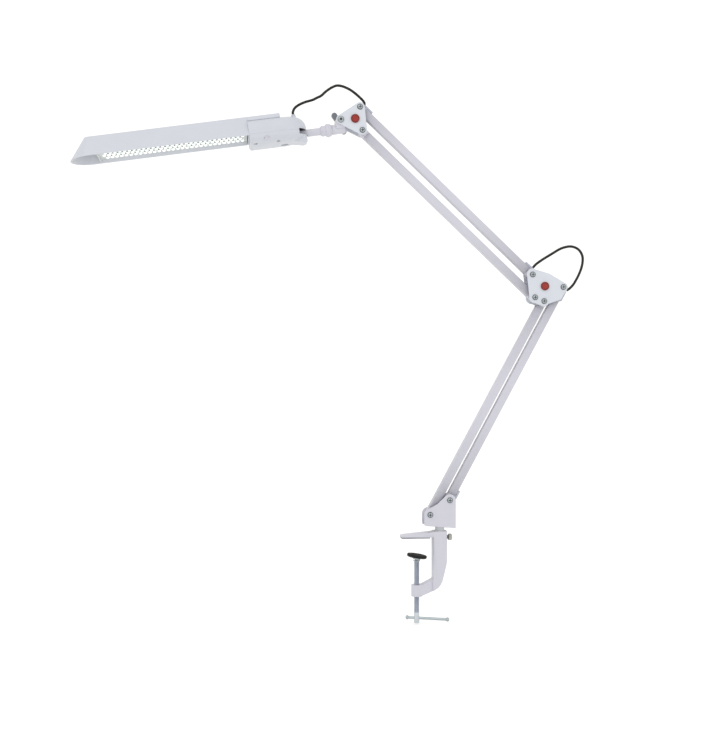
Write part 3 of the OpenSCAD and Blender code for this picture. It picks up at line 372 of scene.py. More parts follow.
def soft_rubber(name, colour, roughness=0.72, grain=900):
    """Matt rubber with a pebbled skin and a bloom of dust."""
    rubber = Finish(name, ior=1.4)
    bloom = rubber.noise(45, 3)
    dusty = tuple(c * 1.4 + 0.002 for c in colour)
    rubber.feed("base color", rubber.between(bloom, colour, dusty))
    patches = rubber.noise(240, 2)
    rubber.feed("roughness", rubber.spread(patches, roughness - 0.08, roughness + 0.08))
    rubber.bump(rubber.noise(grain, 2), 0.05 * MM, 0.4)
    return rubber.material


def frosted_lens(name):
    """LED lenses: milky domes that glow a little, warmer in some than in others."""
    lens = Finish(name, roughness=0.28, ior=1.45, emission_strength=0.55)
    tint = lens.noise(70, 0)
    lens.feed("base color", lens.between(tint, (0.86, 0.9, 0.88), (1, 1, 0.98)))
    warmth = lens.ramp(tint, 0.35, 0.65)
    lens.feed("emission color", lens.between(warmth, (0.72, 0.85, 0.8), (1, 1, 1)))
    return lens.material


def coated_board(name):
    """The LED board's pale lacquer, with greenish copper tracks showing through."""
    board = Finish(name, roughness=0.45, ior=1.5)
    x, y = [board.node("ShaderNodeSeparateXYZ", {"Vector": board.place}, k) for k in (0, 1)]
    track = board.ramp((y * (math.tau / (5.6 * MM))).wave(), 0.25, 0.6)
    pads = board.ramp((x * (math.tau / (6.9 * MM))).wave(), 0.55, 0.8)
    cloud = board.noise(90, 2)
    lacquer = board.between(cloud, (0.64, 0.67, 0.665), (0.72, 0.74, 0.735))
    copper = board.between(track * (1 - pads), lacquer, (0.52, 0.575, 0.56))
    board.feed("base color", copper)
    board.bump(track, 0.06 * MM, 0.5)
    return board.material


def circuit_green(name):
    """The driver board's green lacquer."""
    board = Finish(name, roughness=0.35, ior=1.5)
    board.feed("base color", board.between(board.ramp(board.noise(420, 1), 0.45, 0.55),
                                           (0.02, 0.13, 0.05), (0.03, 0.2, 0.08)))
    board.bump(board.noise(500, 1), 0.08 * MM, 0.5)
    return board.material


FINISHES = {}


def finish(slot):
    """The material of one of the record's slots, made when it is first asked for."""
    if slot not in FINISHES:
        c = bpy.context.scene.lamp_colours
        makers = {
            "paint": (powder_coat, "arm_powder_coat", c.paint),
            "plate_paint": (powder_coat, "plate_powder_coat", c.plate),
            "shade_paint": (powder_coat, "shade_powder_coat", c.head, 0.03 * MM),
            "housing_plastic": (moulded_plastic, "housing_shell", c.head, 0.32, 0.42),
            "plug_plastic": (moulded_plastic, "tube_plug", c.paint),
            "guide_plastic": (moulded_plastic, "cord_guide", (0.45, 0.47, 0.56)),
            "zinc": (plated, "bright_zinc", c.zinc),
            "steel": (plated, "turned_steel", (0.5, 0.52, 0.55), 0.28, 0.42, (1, 1, 12)),
            "lock_metal": (plated, "dark_knurled_steel", (0.44, 0.44, 0.4), 0.25, 0.4),
            "nylon": (moulded_plastic, "washer_nylon", (0.74, 0.74, 0.72), 0.4, 0.55),
            "wing_plastic": (moulded_plastic, "wing_nut_grey", (0.2, 0.21, 0.24), 0.35, 0.5),
            "black_rubber": (soft_rubber, "pad_rubber_black", (0.005, 0.005, 0.0045)),
            "jaw_rubber": (soft_rubber, "jaw_rubber_grey", (0.24, 0.24, 0.27), 0.65),
            "red_plastic": (moulded_plastic, "cap_red", c.caps, 0.2, 0.3, 600),
            "alu": (coated_board, "led_board_lacquer"),
            "led": (frosted_lens, "led_lens"),
            "board": (circuit_green, "driver_lacquer"),
            "cord": (soft_rubber, "cord_sheath", c.cord, 0.5, 1400),
            "spindle": (threaded_zinc, "thread_zinc", (0.43, 0.47, 0.55), (0.62, 0.66, 0.7)),
            "chips": (moulded_plastic, "chip_ceramic", (0.06, 0.065, 0.07), 0.3, 0.45),
        }
        make, *given = makers[slot]
        FINISHES[slot] = make(*given)
    return FINISHES[slot]


# Meshes

def across(pivot, y=0.0, back=False):
    """A place on a pivot whose Z points out of the lamp's front, or of its back."""
    return Matrix.Translation((pivot.x, y, pivot.z)) @ rotation(-90 if back else 90, "X")


def on_arm(start, end):
    """A place at start whose X points to end."""
    step = end - start
    return Matrix.Translation(start) @ Matrix.Rotation(-math.atan2(step.z, step.x), 4, "Y")


def hexagon(half, angle):
    """A hexagon's radius at an angle, from half its width."""
    return half / math.cos((angle + math.pi / 6) % (math.pi / 3) - math.pi / 6)


def middle(node):
    """The middle of a node's box."""
    low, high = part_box(node)
    return (Vector(low) + Vector(high)) / 2


def turned(profile, place, steps, shape=None, ring=False, mark=None, bm=None):
    """The solid that a (radius, height) profile in mm makes about its place's Z axis.

    shape(radius, height, angle) may give each point another radius and height, and
    mark(radius, height, drop) sets how much shade is painted there, drop being how far shape sank
    it.
    A bmesh that is given is added to.
    """
    bm = bmesh.new() if bm is None else bm
    dark = bm.verts.layers.float.get("dark") or bm.verts.layers.float.new("dark")
    rows = []
    for radius, height in profile:
        row = []
        for k in range(steps if radius else 1):
            angle = math.tau * k / steps
            r, h = shape(radius, height, angle) if shape else (radius, height)
            spot = Vector((r * math.cos(angle), r * math.sin(angle), h)) * MM
            row.append(bm.verts.new(place @ spot))
            row[-1][dark] = mark(radius, height, height - h) if mark else 0
        rows.append(row)
    for low, high in zip(rows, rows[1:] + (rows[:1] if ring else [])):
        for k in range(steps):
            m = (k + 1) % steps
            corners = dict.fromkeys((low[k % len(low)], low[m % len(low)],
                                     high[m % len(high)], high[k % len(high)]))
            if len(corners) > 2:
                bm.faces.new(list(corners))
    return bm


def bend(cx, cy, radius, start, end, steps=6):
    """Points of an arc in a profile, angles in degrees."""
    angles = [math.radians(start + (end - start) * i / steps) for i in range(steps + 1)]
    return [(cx + radius * math.cos(a), cy + radius * math.sin(a)) for a in angles]


def skinned(rings):
    """The closed solid through rings of points, which all have as many."""
    bm = bmesh.new()
    rings = [[bm.verts.new(point) for point in ring] for ring in rings]
    for low, high in zip(rings, rings[1:]):
        for k in range(len(low)):
            bm.faces.new((low[k - 1], low[k], high[k], high[k - 1]))
    bm.faces.new(rings[0])
    bm.faces.new(rings[-1])
    return bm


def swept(points, first, last, radius, sides=14):
    """A closed tube of round section along part of a route in the plane of the arms."""
    rings = []
    for i in range(first, last + 1):
        way = (points[min(i + 1, len(points) - 1)] - points[max(i - 1, 0)]).normalized()
        side = Vector((0, 1, 0))
        up = side.cross(way)
        rings.append([points[i] + radius * (math.cos(a) * up + math.sin(a) * side)
                      for a in (math.tau * k / sides for k in range(sides))])
    return skinned(rings)


def smooth_route(run, steps=4):
    """A route's points with a smooth curve between them, in metres."""
    knots = [Vector((x * MM, 0, z * MM)) for x, z in run]
    ends = [2 * knots[0] - knots[1], *knots, 2 * knots[-1] - knots[-2]]
    route = []
    for a, b, c, d in zip(ends, ends[1:], ends[2:], ends[3:]):
        for i in range(steps):
            t = i / steps
            route.append(0.5 * (2 * b + (c - a) * t + (2 * a - 5 * b + 4 * c - d) * t ** 2
                                + (3 * b - a - 3 * c + d) * t ** 3))
    return route + [knots[-1]]


def stood(name, data):
    """A new object in the scene."""
    made = bpy.data.objects.new(name, data)
    bpy.context.scene.collection.objects.link(made)
    return made


def smoothed(mesh, bm, sharp):
    """Fills a mesh with a welded bmesh, its faces out, smooth up to an angle in degrees."""
    bmesh.ops.remove_doubles(bm, verts=bm.verts, dist=WELD)
    bmesh.ops.recalc_face_normals(bm, faces=bm.faces)
    bm.to_mesh(mesh)
    bm.free()
    mesh.shade_smooth()
    mesh.set_sharp_from_angle(angle=math.radians(sharp))


def piece(name, bm, look, sharp=35):
    """Turns a bmesh in its final place into a smooth shaded object."""
    mesh = bpy.data.meshes.new(name)
    smoothed(mesh, bm, sharp)
    mesh.materials.append(finish(look))
    return stood(name, mesh)


def settle(made, node=None, body=None, slot=None):
    """Lets a piece ride and stand for its node, or only ride on the body that is given."""
    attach(made, body or BODIES[node])
    if node:
        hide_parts(node)


def lathed(node, kind, profile, place, steps, look=None, sharp=35, **how):
    """Stands a turned piece in its node's place; how goes to turned."""
    bm = turned(profile, place, steps, **how)
    settle(piece(node + "_" + kind, bm, look or SLOTS[node], sharp), node)


def dressed(node, width, spare=None):
    """Stands a copy of a node with rounded edges in the node's place.

    Edges of which spare(point) is true at an end stay as they are.
    """
    join, flat_angle, sharp = 0.04 * MM, math.radians(0.1), 30
    bm = bmesh.new()
    bm.from_mesh(NODES[node].data)
    bmesh.ops.remove_doubles(bm, verts=bm.verts, dist=join)
    bmesh.ops.dissolve_limit(bm, angle_limit=flat_angle, verts=bm.verts, edges=bm.edges)
    rounded = bm.edges.layers.float.new("bevel_weight_edge")
    for edge in bm.edges:
        turn = edge.calc_face_angle(0) if len(edge.link_faces) == 2 else 0
        left = spare and any(spare(v.co / MM) for v in edge.verts)
        edge[rounded] = 1.0 if math.radians(sharp) < turn < FOLD and not left else 0.0
    made = piece(node + "_dressed", bm, SLOTS[node], sharp)
    weights = made.data.attributes["bevel_weight_edge"].data
    for edge in made.data.edges:
        if weights[edge.index].value:
            edge.use_edge_sharp = False
    round_over = made.modifiers.new("Rounded edges", "BEVEL")
    round_over.width, round_over.segments = width, 2
    round_over.limit_method = "WEIGHT"
    round_over.use_clamp_overlap = False
    made.modifiers.new("Flat faces", "WEIGHTED_NORMAL").keep_sharp = True
    settle(made, node)


def coated(*nodes):
    """Gives CAD nodes whose shape is right their finish."""
    for node in nodes:
        for slot in NODES[node].material_slots:
            slot.material = finish(SLOTS[node])


def grown(name, tree, look, inputs, points=((0, 0, 0),)):
    """Runs a geometry tree over a mesh of points and keeps its result as a plain mesh."""
    seed = bpy.data.meshes.new(name + "_seed")
    seed.from_pydata(points, [], [])
    carrier = stood(name + "_seed", seed)
    modifier = carrier.modifiers.new("Pieces", "NODES")
    modifier.node_group = tree
    sockets = {s.name: s.identifier for s in tree.interface.items_tree if s.in_out == "INPUT"}
    for key, value in {**inputs, "Finish": finish(look)}.items():
        modifier[sockets[key]] = value
    bpy.context.view_layer.update()
    seen = carrier.evaluated_get(bpy.context.evaluated_depsgraph_get())
    mesh = bpy.data.meshes.new_from_object(seen)
    carrier.modifiers.clear()
    bpy.data.objects.remove(carrier)
    if not mesh.polygons:
        raise RuntimeError(name + " came out empty")
    mesh.name = name
    mesh.materials.clear()
    mesh.materials.append(finish(look))
    return stood(name, mesh)


def geometry_tree(name, **inputs):
    """An empty geometry tree with inputs, named by kind, and its group input's links."""
    group = bpy.data.node_groups.new(name, "GeometryNodeTree")
    for kind, labels in {"Geometry": ["Geometry"], **inputs, "Material": ["Finish"]}.items():
        for label in labels:
            group.interface.new_socket(label, in_out="INPUT", socket_type="NodeSocket" + kind)
    group.interface.new_socket("Geometry", in_out="OUTPUT", socket_type="NodeSocketGeometry")
    tree = Tree(group)
    entry = group.nodes.new("NodeGroupInput")
    return group, tree, {s.name: Link(tree, s) for s in entry.outputs if s.name}


def copies(tree, points, source):
    """A copy of an object on each point."""
    shape = tree.node("GeometryNodeObjectInfo", {"Object": source}, 4)
    return tree.node("GeometryNodeInstanceOnPoints", {"Points": points, "Instance": shape})


def close_tree(tree, geometry, material):
    """Ends a geometry tree with real geometry and its material."""
    real = tree.node("GeometryNodeRealizeInstances", {0: geometry})
    made = tree.node("GeometryNodeSetMaterial", {"Geometry": real, "Material": material})
    tree.node("NodeGroupOutput", {0: made})


def repeats_tree():
    """One piece on each point, all the same way up."""
    group, tree, given = geometry_tree("repeated_pieces", Object=["Piece"])
    close_tree(tree, copies(tree, given["Geometry"], given["Piece"]), given["Finish"])
    return group


def led_tree():
    """Rows of LEDs along the board; the middle row stands half a pitch on."""
    group, tree, given = geometry_tree("led_rows", Object=["Piece"], Int=["Count", "Rows"],
                                       Float=["Pitch", "Row pitch", "Start", "Height"])
    points = tree.node("GeometryNodePoints", {"Count": given["Count"] * given["Rows"]})
    index = tree.node("GeometryNodeInputIndex")
    row = (index / given["Count"]).floor()
    column = index % given["Count"]
    shifted = row % 2
    x = given["Start"] - given["Pitch"] * (column + shifted * 0.5)
    y = (row - (given["Rows"] - 1) * 0.5) * given["Row pitch"]
    spot = tree.node("ShaderNodeCombineXYZ", {0: x, 1: y, 2: given["Height"]})
    placed = tree.node("GeometryNodeSetPosition", {"Geometry": points, "Position": spot})
    close_tree(tree, copies(tree, placed, given["Piece"]), given["Finish"])
    return group


def spring_tree():
    """A close wound spring along X, from its coils' count, pitch, radius and wire."""
    group, tree, given = geometry_tree("coil_spring", Float=["Coils", "Length", "Radius", "Wire"])
    coil = tree.node("GeometryNodeCurveSpiral", {
        "Resolution": 14, "Rotations": given["Coils"], "Start Radius": given["Radius"],
        "End Radius": given["Radius"], "Height": given["Length"]})
    wire = tree.node("GeometryNodeCurvePrimitiveCircle",
                     {"Resolution": 6, "Radius": given["Wire"]}, mode="RADIUS")
    wound = tree.node("GeometryNodeCurveToMesh", {
        "Curve": coil, "Profile Curve": wire, "Fill Caps": True})
    close_tree(tree, wound, given["Finish"])
    return group


def tube_tree():
    """A square tube with rounded corners along X, open at both ends."""
    group, tree, given = geometry_tree("square_tube", Float=["From", "To", "Size", "Corner"])
    start = tree.node("ShaderNodeCombineXYZ", {0: given["From"]})
    end = tree.node("ShaderNodeCombineXYZ", {0: given["To"]})
    line = tree.node("GeometryNodeCurvePrimitiveLine", {"Start": start, "End": end})
    square = tree.node("GeometryNodeCurvePrimitiveQuadrilateral",
                       {"Width": given["Size"], "Height": given["Size"]})
    section = tree.node("GeometryNodeFilletCurve",
                        {"Curve": square, "Count": 5, "Radius": given["Corner"]}, mode="POLY")
    wall = tree.node("GeometryNodeCurveToMesh", {"Curve": line, "Profile Curve": section})
    close_tree(tree, wall, given["Finish"])
    return group


def forget(*objects):
    """Deletes pieces that were only there to be copied."""
    for each in objects:
        bpy.data.objects.remove(each)


def set_in_place(made, place, *node, **own):
    """Moves a grown mesh to its place, turns its faces out and settles it."""
    made.data.transform(place)
    bm = bmesh.new()
    bm.from_mesh(made.data)
    smoothed(made.data, bm, 32)
    settle(made, *node, **own)


# Operators

class LAMP_OT_camera(bpy.types.Operator):
    """Stand the camera where the lamp was seen from"""
    bl_idname = "lamp.camera"
    bl_label = "Camera"

    def execute(self, context):
        studio = context.scene.lamp_studio
        camera = bpy.data.cameras.new("front_view")
        camera.sensor_width, camera.lens = 36, 54.765
        seen = stood("front_view", camera)
        aim = Vector((-0.0845, 0, 0.2495))
        seen.location = aim - studio.distance * Vector((math.sin(studio.turn),
                                                        math.cos(studio.turn), 0))
        seen.rotation_euler = (math.radians(90), 0, -studio.turn)
        context.scene.camera = seen
        return {"FINISHED"}


class LAMP_OT_cords(bpy.types.Operator):
    """Lay the black cord over the elbow and from the head to the arm"""
    bl_idname = "lamp.cords"
    bl_label = "Cords"

    def execute(self, context):
        for name, run, first, last, line, bodies, nodes in STRETCHES:
            route = smooth_route(run)
            made = piece(name, swept(route, first, last, CORD / 2), "cord", 50)
            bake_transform(made)
            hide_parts(*nodes)
            path = route[first:last + 1]
            length = sum((b - a).length for a, b in zip(path, path[1:]))
        return {"FINISHED"}


class LAMP_OT_clamp(bpy.types.Operator):
    """Finish the clamp's casting, its rubber and the swivel post"""
    bl_idname = "lamp.clamp"
    bl_label = "Clamp casting"

    def execute(self, context):
        dressed("clamp_frame", 0.45 * MM, spare=lambda p: p.x < 25 and p.z < -60)
        dressed("jaw_pad", 0.4 * MM)
        coated("swivel_washer", "swivel_post")
        return {"FINISHED"}


class LAMP_OT_spindle(bpy.types.Operator):
    """Cut the clamp screw's thread and turn the tommy bar"""
    bl_idname = "lamp.spindle"
    bl_label = "Clamp screw"

    def execute(self, context):
        sizes = context.scene.lamp_sizes
        pitch, depth = sizes.thread_pitch / MM, sizes.thread_depth / MM
        top, low, end = -35.5, THREAD_LOW, -128.0

        def cut(radius, height, angle):
            if not low < height < top:
                return radius, height
            fade = min(1.0, (height - low) / pitch, (top - height) / pitch)
            tooth = abs(2 * ((height / pitch - angle / math.tau) % 1) - 1)
            return radius - depth * fade * min(1.0, max(0.0, 1.5 * tooth - 0.2)), height

        ball = [(3.7 * math.sin(math.radians(a)), -30 + 3.7 * math.cos(math.radians(a)))
                for a in range(12, 140, 8)]
        rows_in_turn = 6
        rows = int((top - low) / (pitch / rows_in_turn))
        thread = [(4, top - (top - low) * i / rows) for i in range(rows + 1)]
        shank = [(2.3, -32.9), (2.3, -34.65), (3.2, -34.65), (4, top)] + thread
        foot = [(4, low), (4, -126.9), (3.8, -127.5), (3, end), (0, end)]
        lathed("clamp_screw", "threaded", [(0, -26.3)] + ball + shank + foot, Matrix.Identity(4),
               24, look="spindle", sharp=50, shape=cut)

        # The bar's hole, its turn about the screw and how far it is pushed through
        hole, yaw, pushed = -0.1205, -21, 0.0163
        bar = (Matrix.Translation((0, 0, hole)) @ rotation(yaw, "Z")
               @ Matrix.Translation((pushed, 0, 0)) @ rotation(90, "Y"))
        half = [(0, 33.3), (1.2, 33.3), (2.3, 32.9), (3, 32.1), (3.15, 31.2), (3.15, 30.4),
                (2.9, 29.6), (2.2, 28.8), (2, 28.2), (2, 27)]
        lathed("tommy_bar", "turned", half + [(r, -z) for r, z in reversed(half)], bar, 32)
        coated("thrust_washer")
        return {"FINISHED"}


class LAMP_OT_pad(bpy.types.Operator):
    """Mould the pad's rubber with rings on its face"""
    bl_idname = "lamp.pad"
    bl_label = "Clamp pad"

    def execute(self, context):
        top, groove = 5.1, 4.8
        face = [(0, top)]
        for r in range(3, 14, 2):
            face += [(r - 0.5, top), (r - 0.25, groove), (r + 0.25, groove), (r + 0.5, top)]
        rim = bend(14.0, 4.1, 1.0, 90, 0, 5) + bend(13.5, 2.3, 1.5, 0, -80, 5)
        under = [(13.2, 0.55), (12.5, 0.7), (12.5, 1.2), (13.5, 1.2), (13.5, 2.8), (2.86, 2.8),
                 (2.2, 3.34), (1.2, 3.82), (0, 4)]
        lathed("pad_rubber", "moulded", face + rim + under, BALL, 64)
        coated("pad_cup")
        return {"FINISHED"}


class LAMP_OT_lock_screw(bpy.types.Operator):
    """Knurl the lock screw's head"""
    bl_idname = "lamp.lock_screw"
    bl_label = "Lock screw"

    def execute(self, context):
        knurls = context.scene.lamp_sizes.knurls

        grip, groove = 4.5, 0.2

        def knurl(radius, height, angle):
            if radius < grip:
                return radius, height
            return radius - groove * (1 + math.cos(knurls * angle)), height

        place = Matrix.Translation((0, 0, 0.8 * MM)) @ rotation(90, "Y")
        profile = [(0, 39.4), (2, 39.4), (2.5, 39.9), (2.5, 45.9), (2.75, 46.1), (2.75, 47.6),
                   (3.2, 48.2), (4.3, 48.25), (4.85, 48.7), (4.85, 52.4), (4.4, 53.2),
                   (3.9, 53.6), (2.9, 53.6), (2.6, 53.2), (0, 53.2)]
        # The mark paints shade into the neck under the knurled head and into the hollow in its top
        lathed("lock_screw", "knurled", profile, place, knurls * 6, shape=knurl,
               mark=lambda r, h, drop: 0.75 if 46 < h < 48.3 or (r < 2.8 and h > 53) else 0)
        return {"FINISHED"}


class LAMP_OT_brackets(bpy.types.Operator):
    """Round the edges of the base bracket and of the elbow's and the head's plates"""
    bl_idname = "lamp.brackets"
    bl_label = "Brackets"

    def execute(self, context):
        width = context.scene.lamp_sizes.edge_round
        for node in ("base_bracket", "elbow_front_plate", "elbow_back_plate", "head_front_plate",
                     "head_back_plate"):
            dressed(node, width)
        coated("elbow_spacer", "head_spacer")
        return {"FINISHED"}


class LAMP_OT_fasteners(bpy.types.Operator):
    """Set the pivot screws, their nuts and washers on every pivot"""
    bl_idname = "lamp.fasteners"
    bl_label = "Fasteners"

    def execute(self, context):
        # The cross in a screw's head, and the height of the head's rim
        half_width, reach, depth, rim = 0.42, 2.3, 0.9, 1.2

        def recess(radius, height, angle):
            x, y = abs(radius * math.cos(angle)), abs(radius * math.sin(angle))
            cross = min(x, y) < half_width and max(x, y) < reach
            return radius, height - (depth if cross and height > rim else 0)

        def shadow(radius, height, drop):
            if drop > 0:
                return 0.85
            return 0.8 if radius > 3.4 and 0 <= height < rim else 0

        def flats(radius, height, angle):
            # A hexagon's width across the flats is this share of that across the corners
            share = 0.866
            return hexagon(radius, angle) * share if radius > 4.5 else radius, height

        front = across(Vector((0, 0, 0)))
        dome = [(0, 2.38), (0.35, 2.38), (0.7, 2.37), (1.1, 2.35), (1.5, 2.31), (1.9, 2.25),
                (2.2, 2.18), (2.5, 2.08), (2.9, 1.85), (3.3, 1.5)]
        shank = [(3.45, 1.02), (4, 0.95), (4.3, 0.7), (4.3, 0), (2.5, 0), (2.5, -27.6),
                 (2.1, -28), (0, -28)]
        screw = piece("screw_master", turned(dome + shank, front, 32, recess, mark=shadow), "zinc")
        section = [(2.55, 0), (4.2, 0), (4.62, 0.35), (4.62, 3.3), (4, 4), (2.55, 4)]
        nut = piece("nut_master", turned(section, front, 36, flats, ring=True), "zinc")
        tree = repeats_tree()
        sets = {"base": (BASE_LEFT, BASE_RIGHT),
                "elbow": (ELBOW_LEFT, ELBOW_RIGHT, ELBOW_TOP, ELBOW_BOTTOM),
                "head": (HEAD_TOP, HEAD_BOTTOM)}
        for name, pivots in sets.items():
            for kind, source, y in (("_screws", screw, -BRACKET_HALF),
                                    ("_nuts", nut, BRACKET_HALF + 4 * MM)):
                spots = [(p.x, y, p.z) for p in pivots]
                made = grown(name + kind + "_set", tree, "zinc", {"Piece": source}, spots)
                set_in_place(made, Matrix.Identity(4), name + kind)
            coated(name + "_washers")
        forget(screw, nut)
        return {"FINISHED"}


class LAMP_OT_tubes(bpy.types.Operator):
    """Draw the four square tubes with their plugs, guides and springs"""
    bl_idname = "lamp.tubes"
    bl_label = "Tubes"

    def execute(self, context):
        tree, plug = tube_tree(), 9 * MM
        for body, (start, end) in ARMS.items():
            made = grown(body + "_tube_drawn", tree, "paint", {
                "From": plug, "To": (end - start).length - plug, "Size": 12 * MM,
                "Corner": context.scene.lamp_sizes.tube_round})
            set_in_place(made, on_arm(start, end), body + "_tube")
            wall = made.modifiers.new("Wall", "SOLIDIFY")
            wall.thickness, wall.offset = 0.95 * MM, -1
            dressed(body + "_ends", 0.5 * MM)
        dressed("lower_guides", 0.4 * MM)
        dressed("upper_guides", 0.4 * MM)
        tree, length = spring_tree(), 148.6 * MM
        for node in ("lower_spring", "upper_spring"):
            start, end = ARMS[BODIES[node]]
            made = grown(node + "_wound", tree, "steel", {
                "Coils": 124.0, "Length": length, "Radius": 3.38 * MM, "Wire": 0.59 * MM})
            lay = (Matrix.Translation(middle(node) - start) @ on_arm(start, end)
                   @ rotation(90, "Y") @ Matrix.Translation((0, 0, -length / 2)))
            set_in_place(made, lay, node)
        return {"FINISHED"}


class LAMP_OT_caps(bpy.types.Operator):
    """Press the red caps into the brackets' spacers"""
    bl_idname = "lamp.caps"
    bl_label = "Red caps"

    def execute(self, context):
        profile = [(0, -6.8), (1.6, -6.8), (2, -6.4), (2, 0.02), (6.3, 0.02), (6.5, 0.2)]
        profile += bend(5.5, 1.2, 1.0, 0, 90, 6)
        profile += [(4.9, 2.15), (4.6, 1.9), (4.3, 1.85), (3, 1.95), (1.5, 2.02), (0, 2.05)]
        for name in ("elbow", "head"):
            centre = middle(name + "_spacer")
            bm = bmesh.new()
            for back in (False, True):
                y = BRACKET_HALF if back else -BRACKET_HALF
                # The mark paints dark shade into the groove inside the rim and lighter shade over
                # the rim's outside
                turned(profile, across(centre, y, back), 56, bm=bm,
                       mark=lambda r, h, drop: 0.9 if 4.4 < r < 5 else 0.45 if r > 5.2 else 0)
            settle(piece(name + "_caps_domed", bm, "red_plastic", 40), name + "_caps")
        return {"FINISHED"}


class LAMP_OT_neck(bpy.types.Operator):
    """Finish the tilt bolt, the wing nut and the neck"""
    bl_idname = "lamp.neck"
    bl_label = "Neck"

    def execute(self, context):
        def socket(radius, height, angle):
            return hexagon(1.85, angle) if 1.9 < radius < 2.1 else radius, height

        def shadow(radius, height, drop):
            if 0 < height < 2 and radius < 2:
                return 0.9
            return 0.75 if radius > 4.5 and height >= 0 else 0

        bolt = [(0, 1.6), (1.95, 1.6), (2.05, 2.55), (2.6, 2.58), (3.2, 2.5), (4.2, 1.5),
                (4.65, 1.1), (4.7, 0.9), (4.7, 0), (3, 0), (3, -32.6), (2.5, -33.2), (0, -33.2)]
        lathed("tilt_bolt", "turned", bolt, across(TILT, -BRACKET_HALF), 48, shape=socket,
               mark=shadow)
        hub, axis = 7.2, TILT / MM
        dressed("wing_nut", 0.5 * MM, lambda p: math.hypot(p.x - axis.x, p.z - axis.z) < hub)
        dressed("neck_socket", 0.5 * MM)
        coated("neck_rod")
        foot = -0.0143
        place = NECK @ Matrix.Translation((foot, 0, 0)) @ rotation(-90, "Y")
        outside = [(7.0, 0), (7.25, 0.25), (8.2, 1.6), (9.1, 2.7)] + bend(6, 6.5, 4, -25, 50, 10)
        outside += [(7.7, 10.4), (7.4, 11), (7.5, 12), (7.9, 13.4)]
        outside += bend(7.2, 14.8, 0.7, 20, 75, 4)
        outside += [(6.95, 16.9), (6.6, 17.5), (5.55, 17.5), (5.55, 10.2), (6.55, 10.2), (6.55, 0)]
        lathed("neck_collar", "turned", outside, place, 64, ring=True)
        return {"FINISHED"}


class LAMP_OT_shade(bpy.types.Operator):
    """Finish the shade and the housing behind it"""
    bl_idname = "lamp.shade"
    bl_label = "Shade and housing"

    def execute(self, context):
        dressed("head_shade", 0.5 * MM)
        dressed("housing_top", 0.35 * MM)
        coated("housing_bottom", "swivel_pin", "housing_screws")
        # A sill inside the lower half closes the slit between its front wall and its belly
        section = [(-49.6, -10.3), (-49.25, -10.72), (-48.7, -11.2), (-48.2, -11.45),
                   (-47.6, -11), (-48.6, -9.9), (-49.3, -9.6)]
        ends = [[HEAD @ (Vector((x, y, z)) * MM) for x, z in section] for y in (-16, 16)]
        sill = piece("housing_front_sill", skinned(ends), "housing_plastic")
        settle(sill, body="head", slot="housing_plastic")
        return {"FINISHED"}


class LAMP_OT_gland(bpy.types.Operator):
    """Turn the ribbed gland that the cord leaves the housing by"""
    bl_idname = "lamp.gland"
    bl_label = "Cord gland"

    def execute(self, context):
        place = HEAD @ Matrix.Translation((0.019, 0, 0.024))
        outside = [(3, -2.4), (3, -0.6), (4.2, -0.6), (4.4, -0.4), (4.4, 0.9), (4.1, 1.2)]
        for z, r in ((1.9, 3.75), (3.1, 3.4), (4.3, 3.2)):
            outside += [(r, z), (r, z + 0.55), (r - 0.4, z + 0.7), (r - 0.4, z + 1.05)]
        outside += [(3.0, 5.5), (2.9, 5.8), (2.6, 6)]
        bore = [(2.05, 6), (2.05, -2.4)]
        lathed("cable_gland", "ribbed", outside + bore, place, 40, ring=True)
        return {"FINISHED"}


class LAMP_OT_button(bpy.types.Operator):
    """Mould the power button in the housing's belly"""
    bl_idname = "lamp.button"
    bl_label = "Power button"

    def execute(self, context):
        # It looks out of the belly's slanting side
        slant = 45.025
        place = (HEAD @ Matrix.Translation((-0.027, -0.032545, -0.0062))
                 @ rotation(90 + slant, "X"))
        profile = [(0, -6.2), (4.2, -6.2), (4.2, -5), (3.5, -5), (3.5, 0.9)]
        profile += bend(2.9, 0.95, 0.6, 0, 80, 5)
        profile += [(2.6, 1.45), (2.2, 1.25), (1.2, 1.3), (0, 1.35)]
        lathed("power_button", "moulded", profile, place, 40)
        return {"FINISHED"}


class LAMP_OT_leds(bpy.types.Operator):
    """Set the LEDs and the small chips on the board under the shade"""
    bl_idname = "lamp.leds"
    bl_label = "LEDs"

    def execute(self, context):
        sizes = context.scene.lamp_sizes
        dome = [(0, 0), (2.4, 0), (2.4, -1.15), (2.25, -1.2), (2.0, -1.6), (1.5, -1.95),
                (0.8, -2.15), (0, -2.2)]
        lens = piece("led_master", turned(dome, Matrix.Identity(4), 14), "led")
        tree = led_tree()
        pitches = {"Pitch": sizes.led_pitch, "Row pitch": sizes.led_row}
        made = grown("led_lenses", tree, "led", {
            **pitches, "Piece": lens, "Count": sizes.led_count, "Rows": 3,
            "Start": -60.5 * MM, "Height": 5.2 * MM})
        set_in_place(made, HEAD, "leds")
        bm = bmesh.new()
        chip_size = Matrix.Diagonal((2.2 * MM, 1.5 * MM, 0.7 * MM, 1))
        bmesh.ops.create_cube(bm, size=1, matrix=chip_size)
        bmesh.ops.bevel(bm, geom=bm.edges, offset=0.12 * MM, segments=1, affect="EDGES")
        chip = piece("chip_master", bm, "chips")
        made = grown("board_chips", tree, "chips", {
            **pitches, "Piece": chip, "Count": sizes.led_count - 1, "Rows": 2,
            "Start": -64.2 * MM, "Height": 4.9 * MM})
        set_in_place(made, HEAD, body="head", slot="board")
        forget(lens, chip)
        coated("led_board", "driver_board")
        return {"FINISHED"}


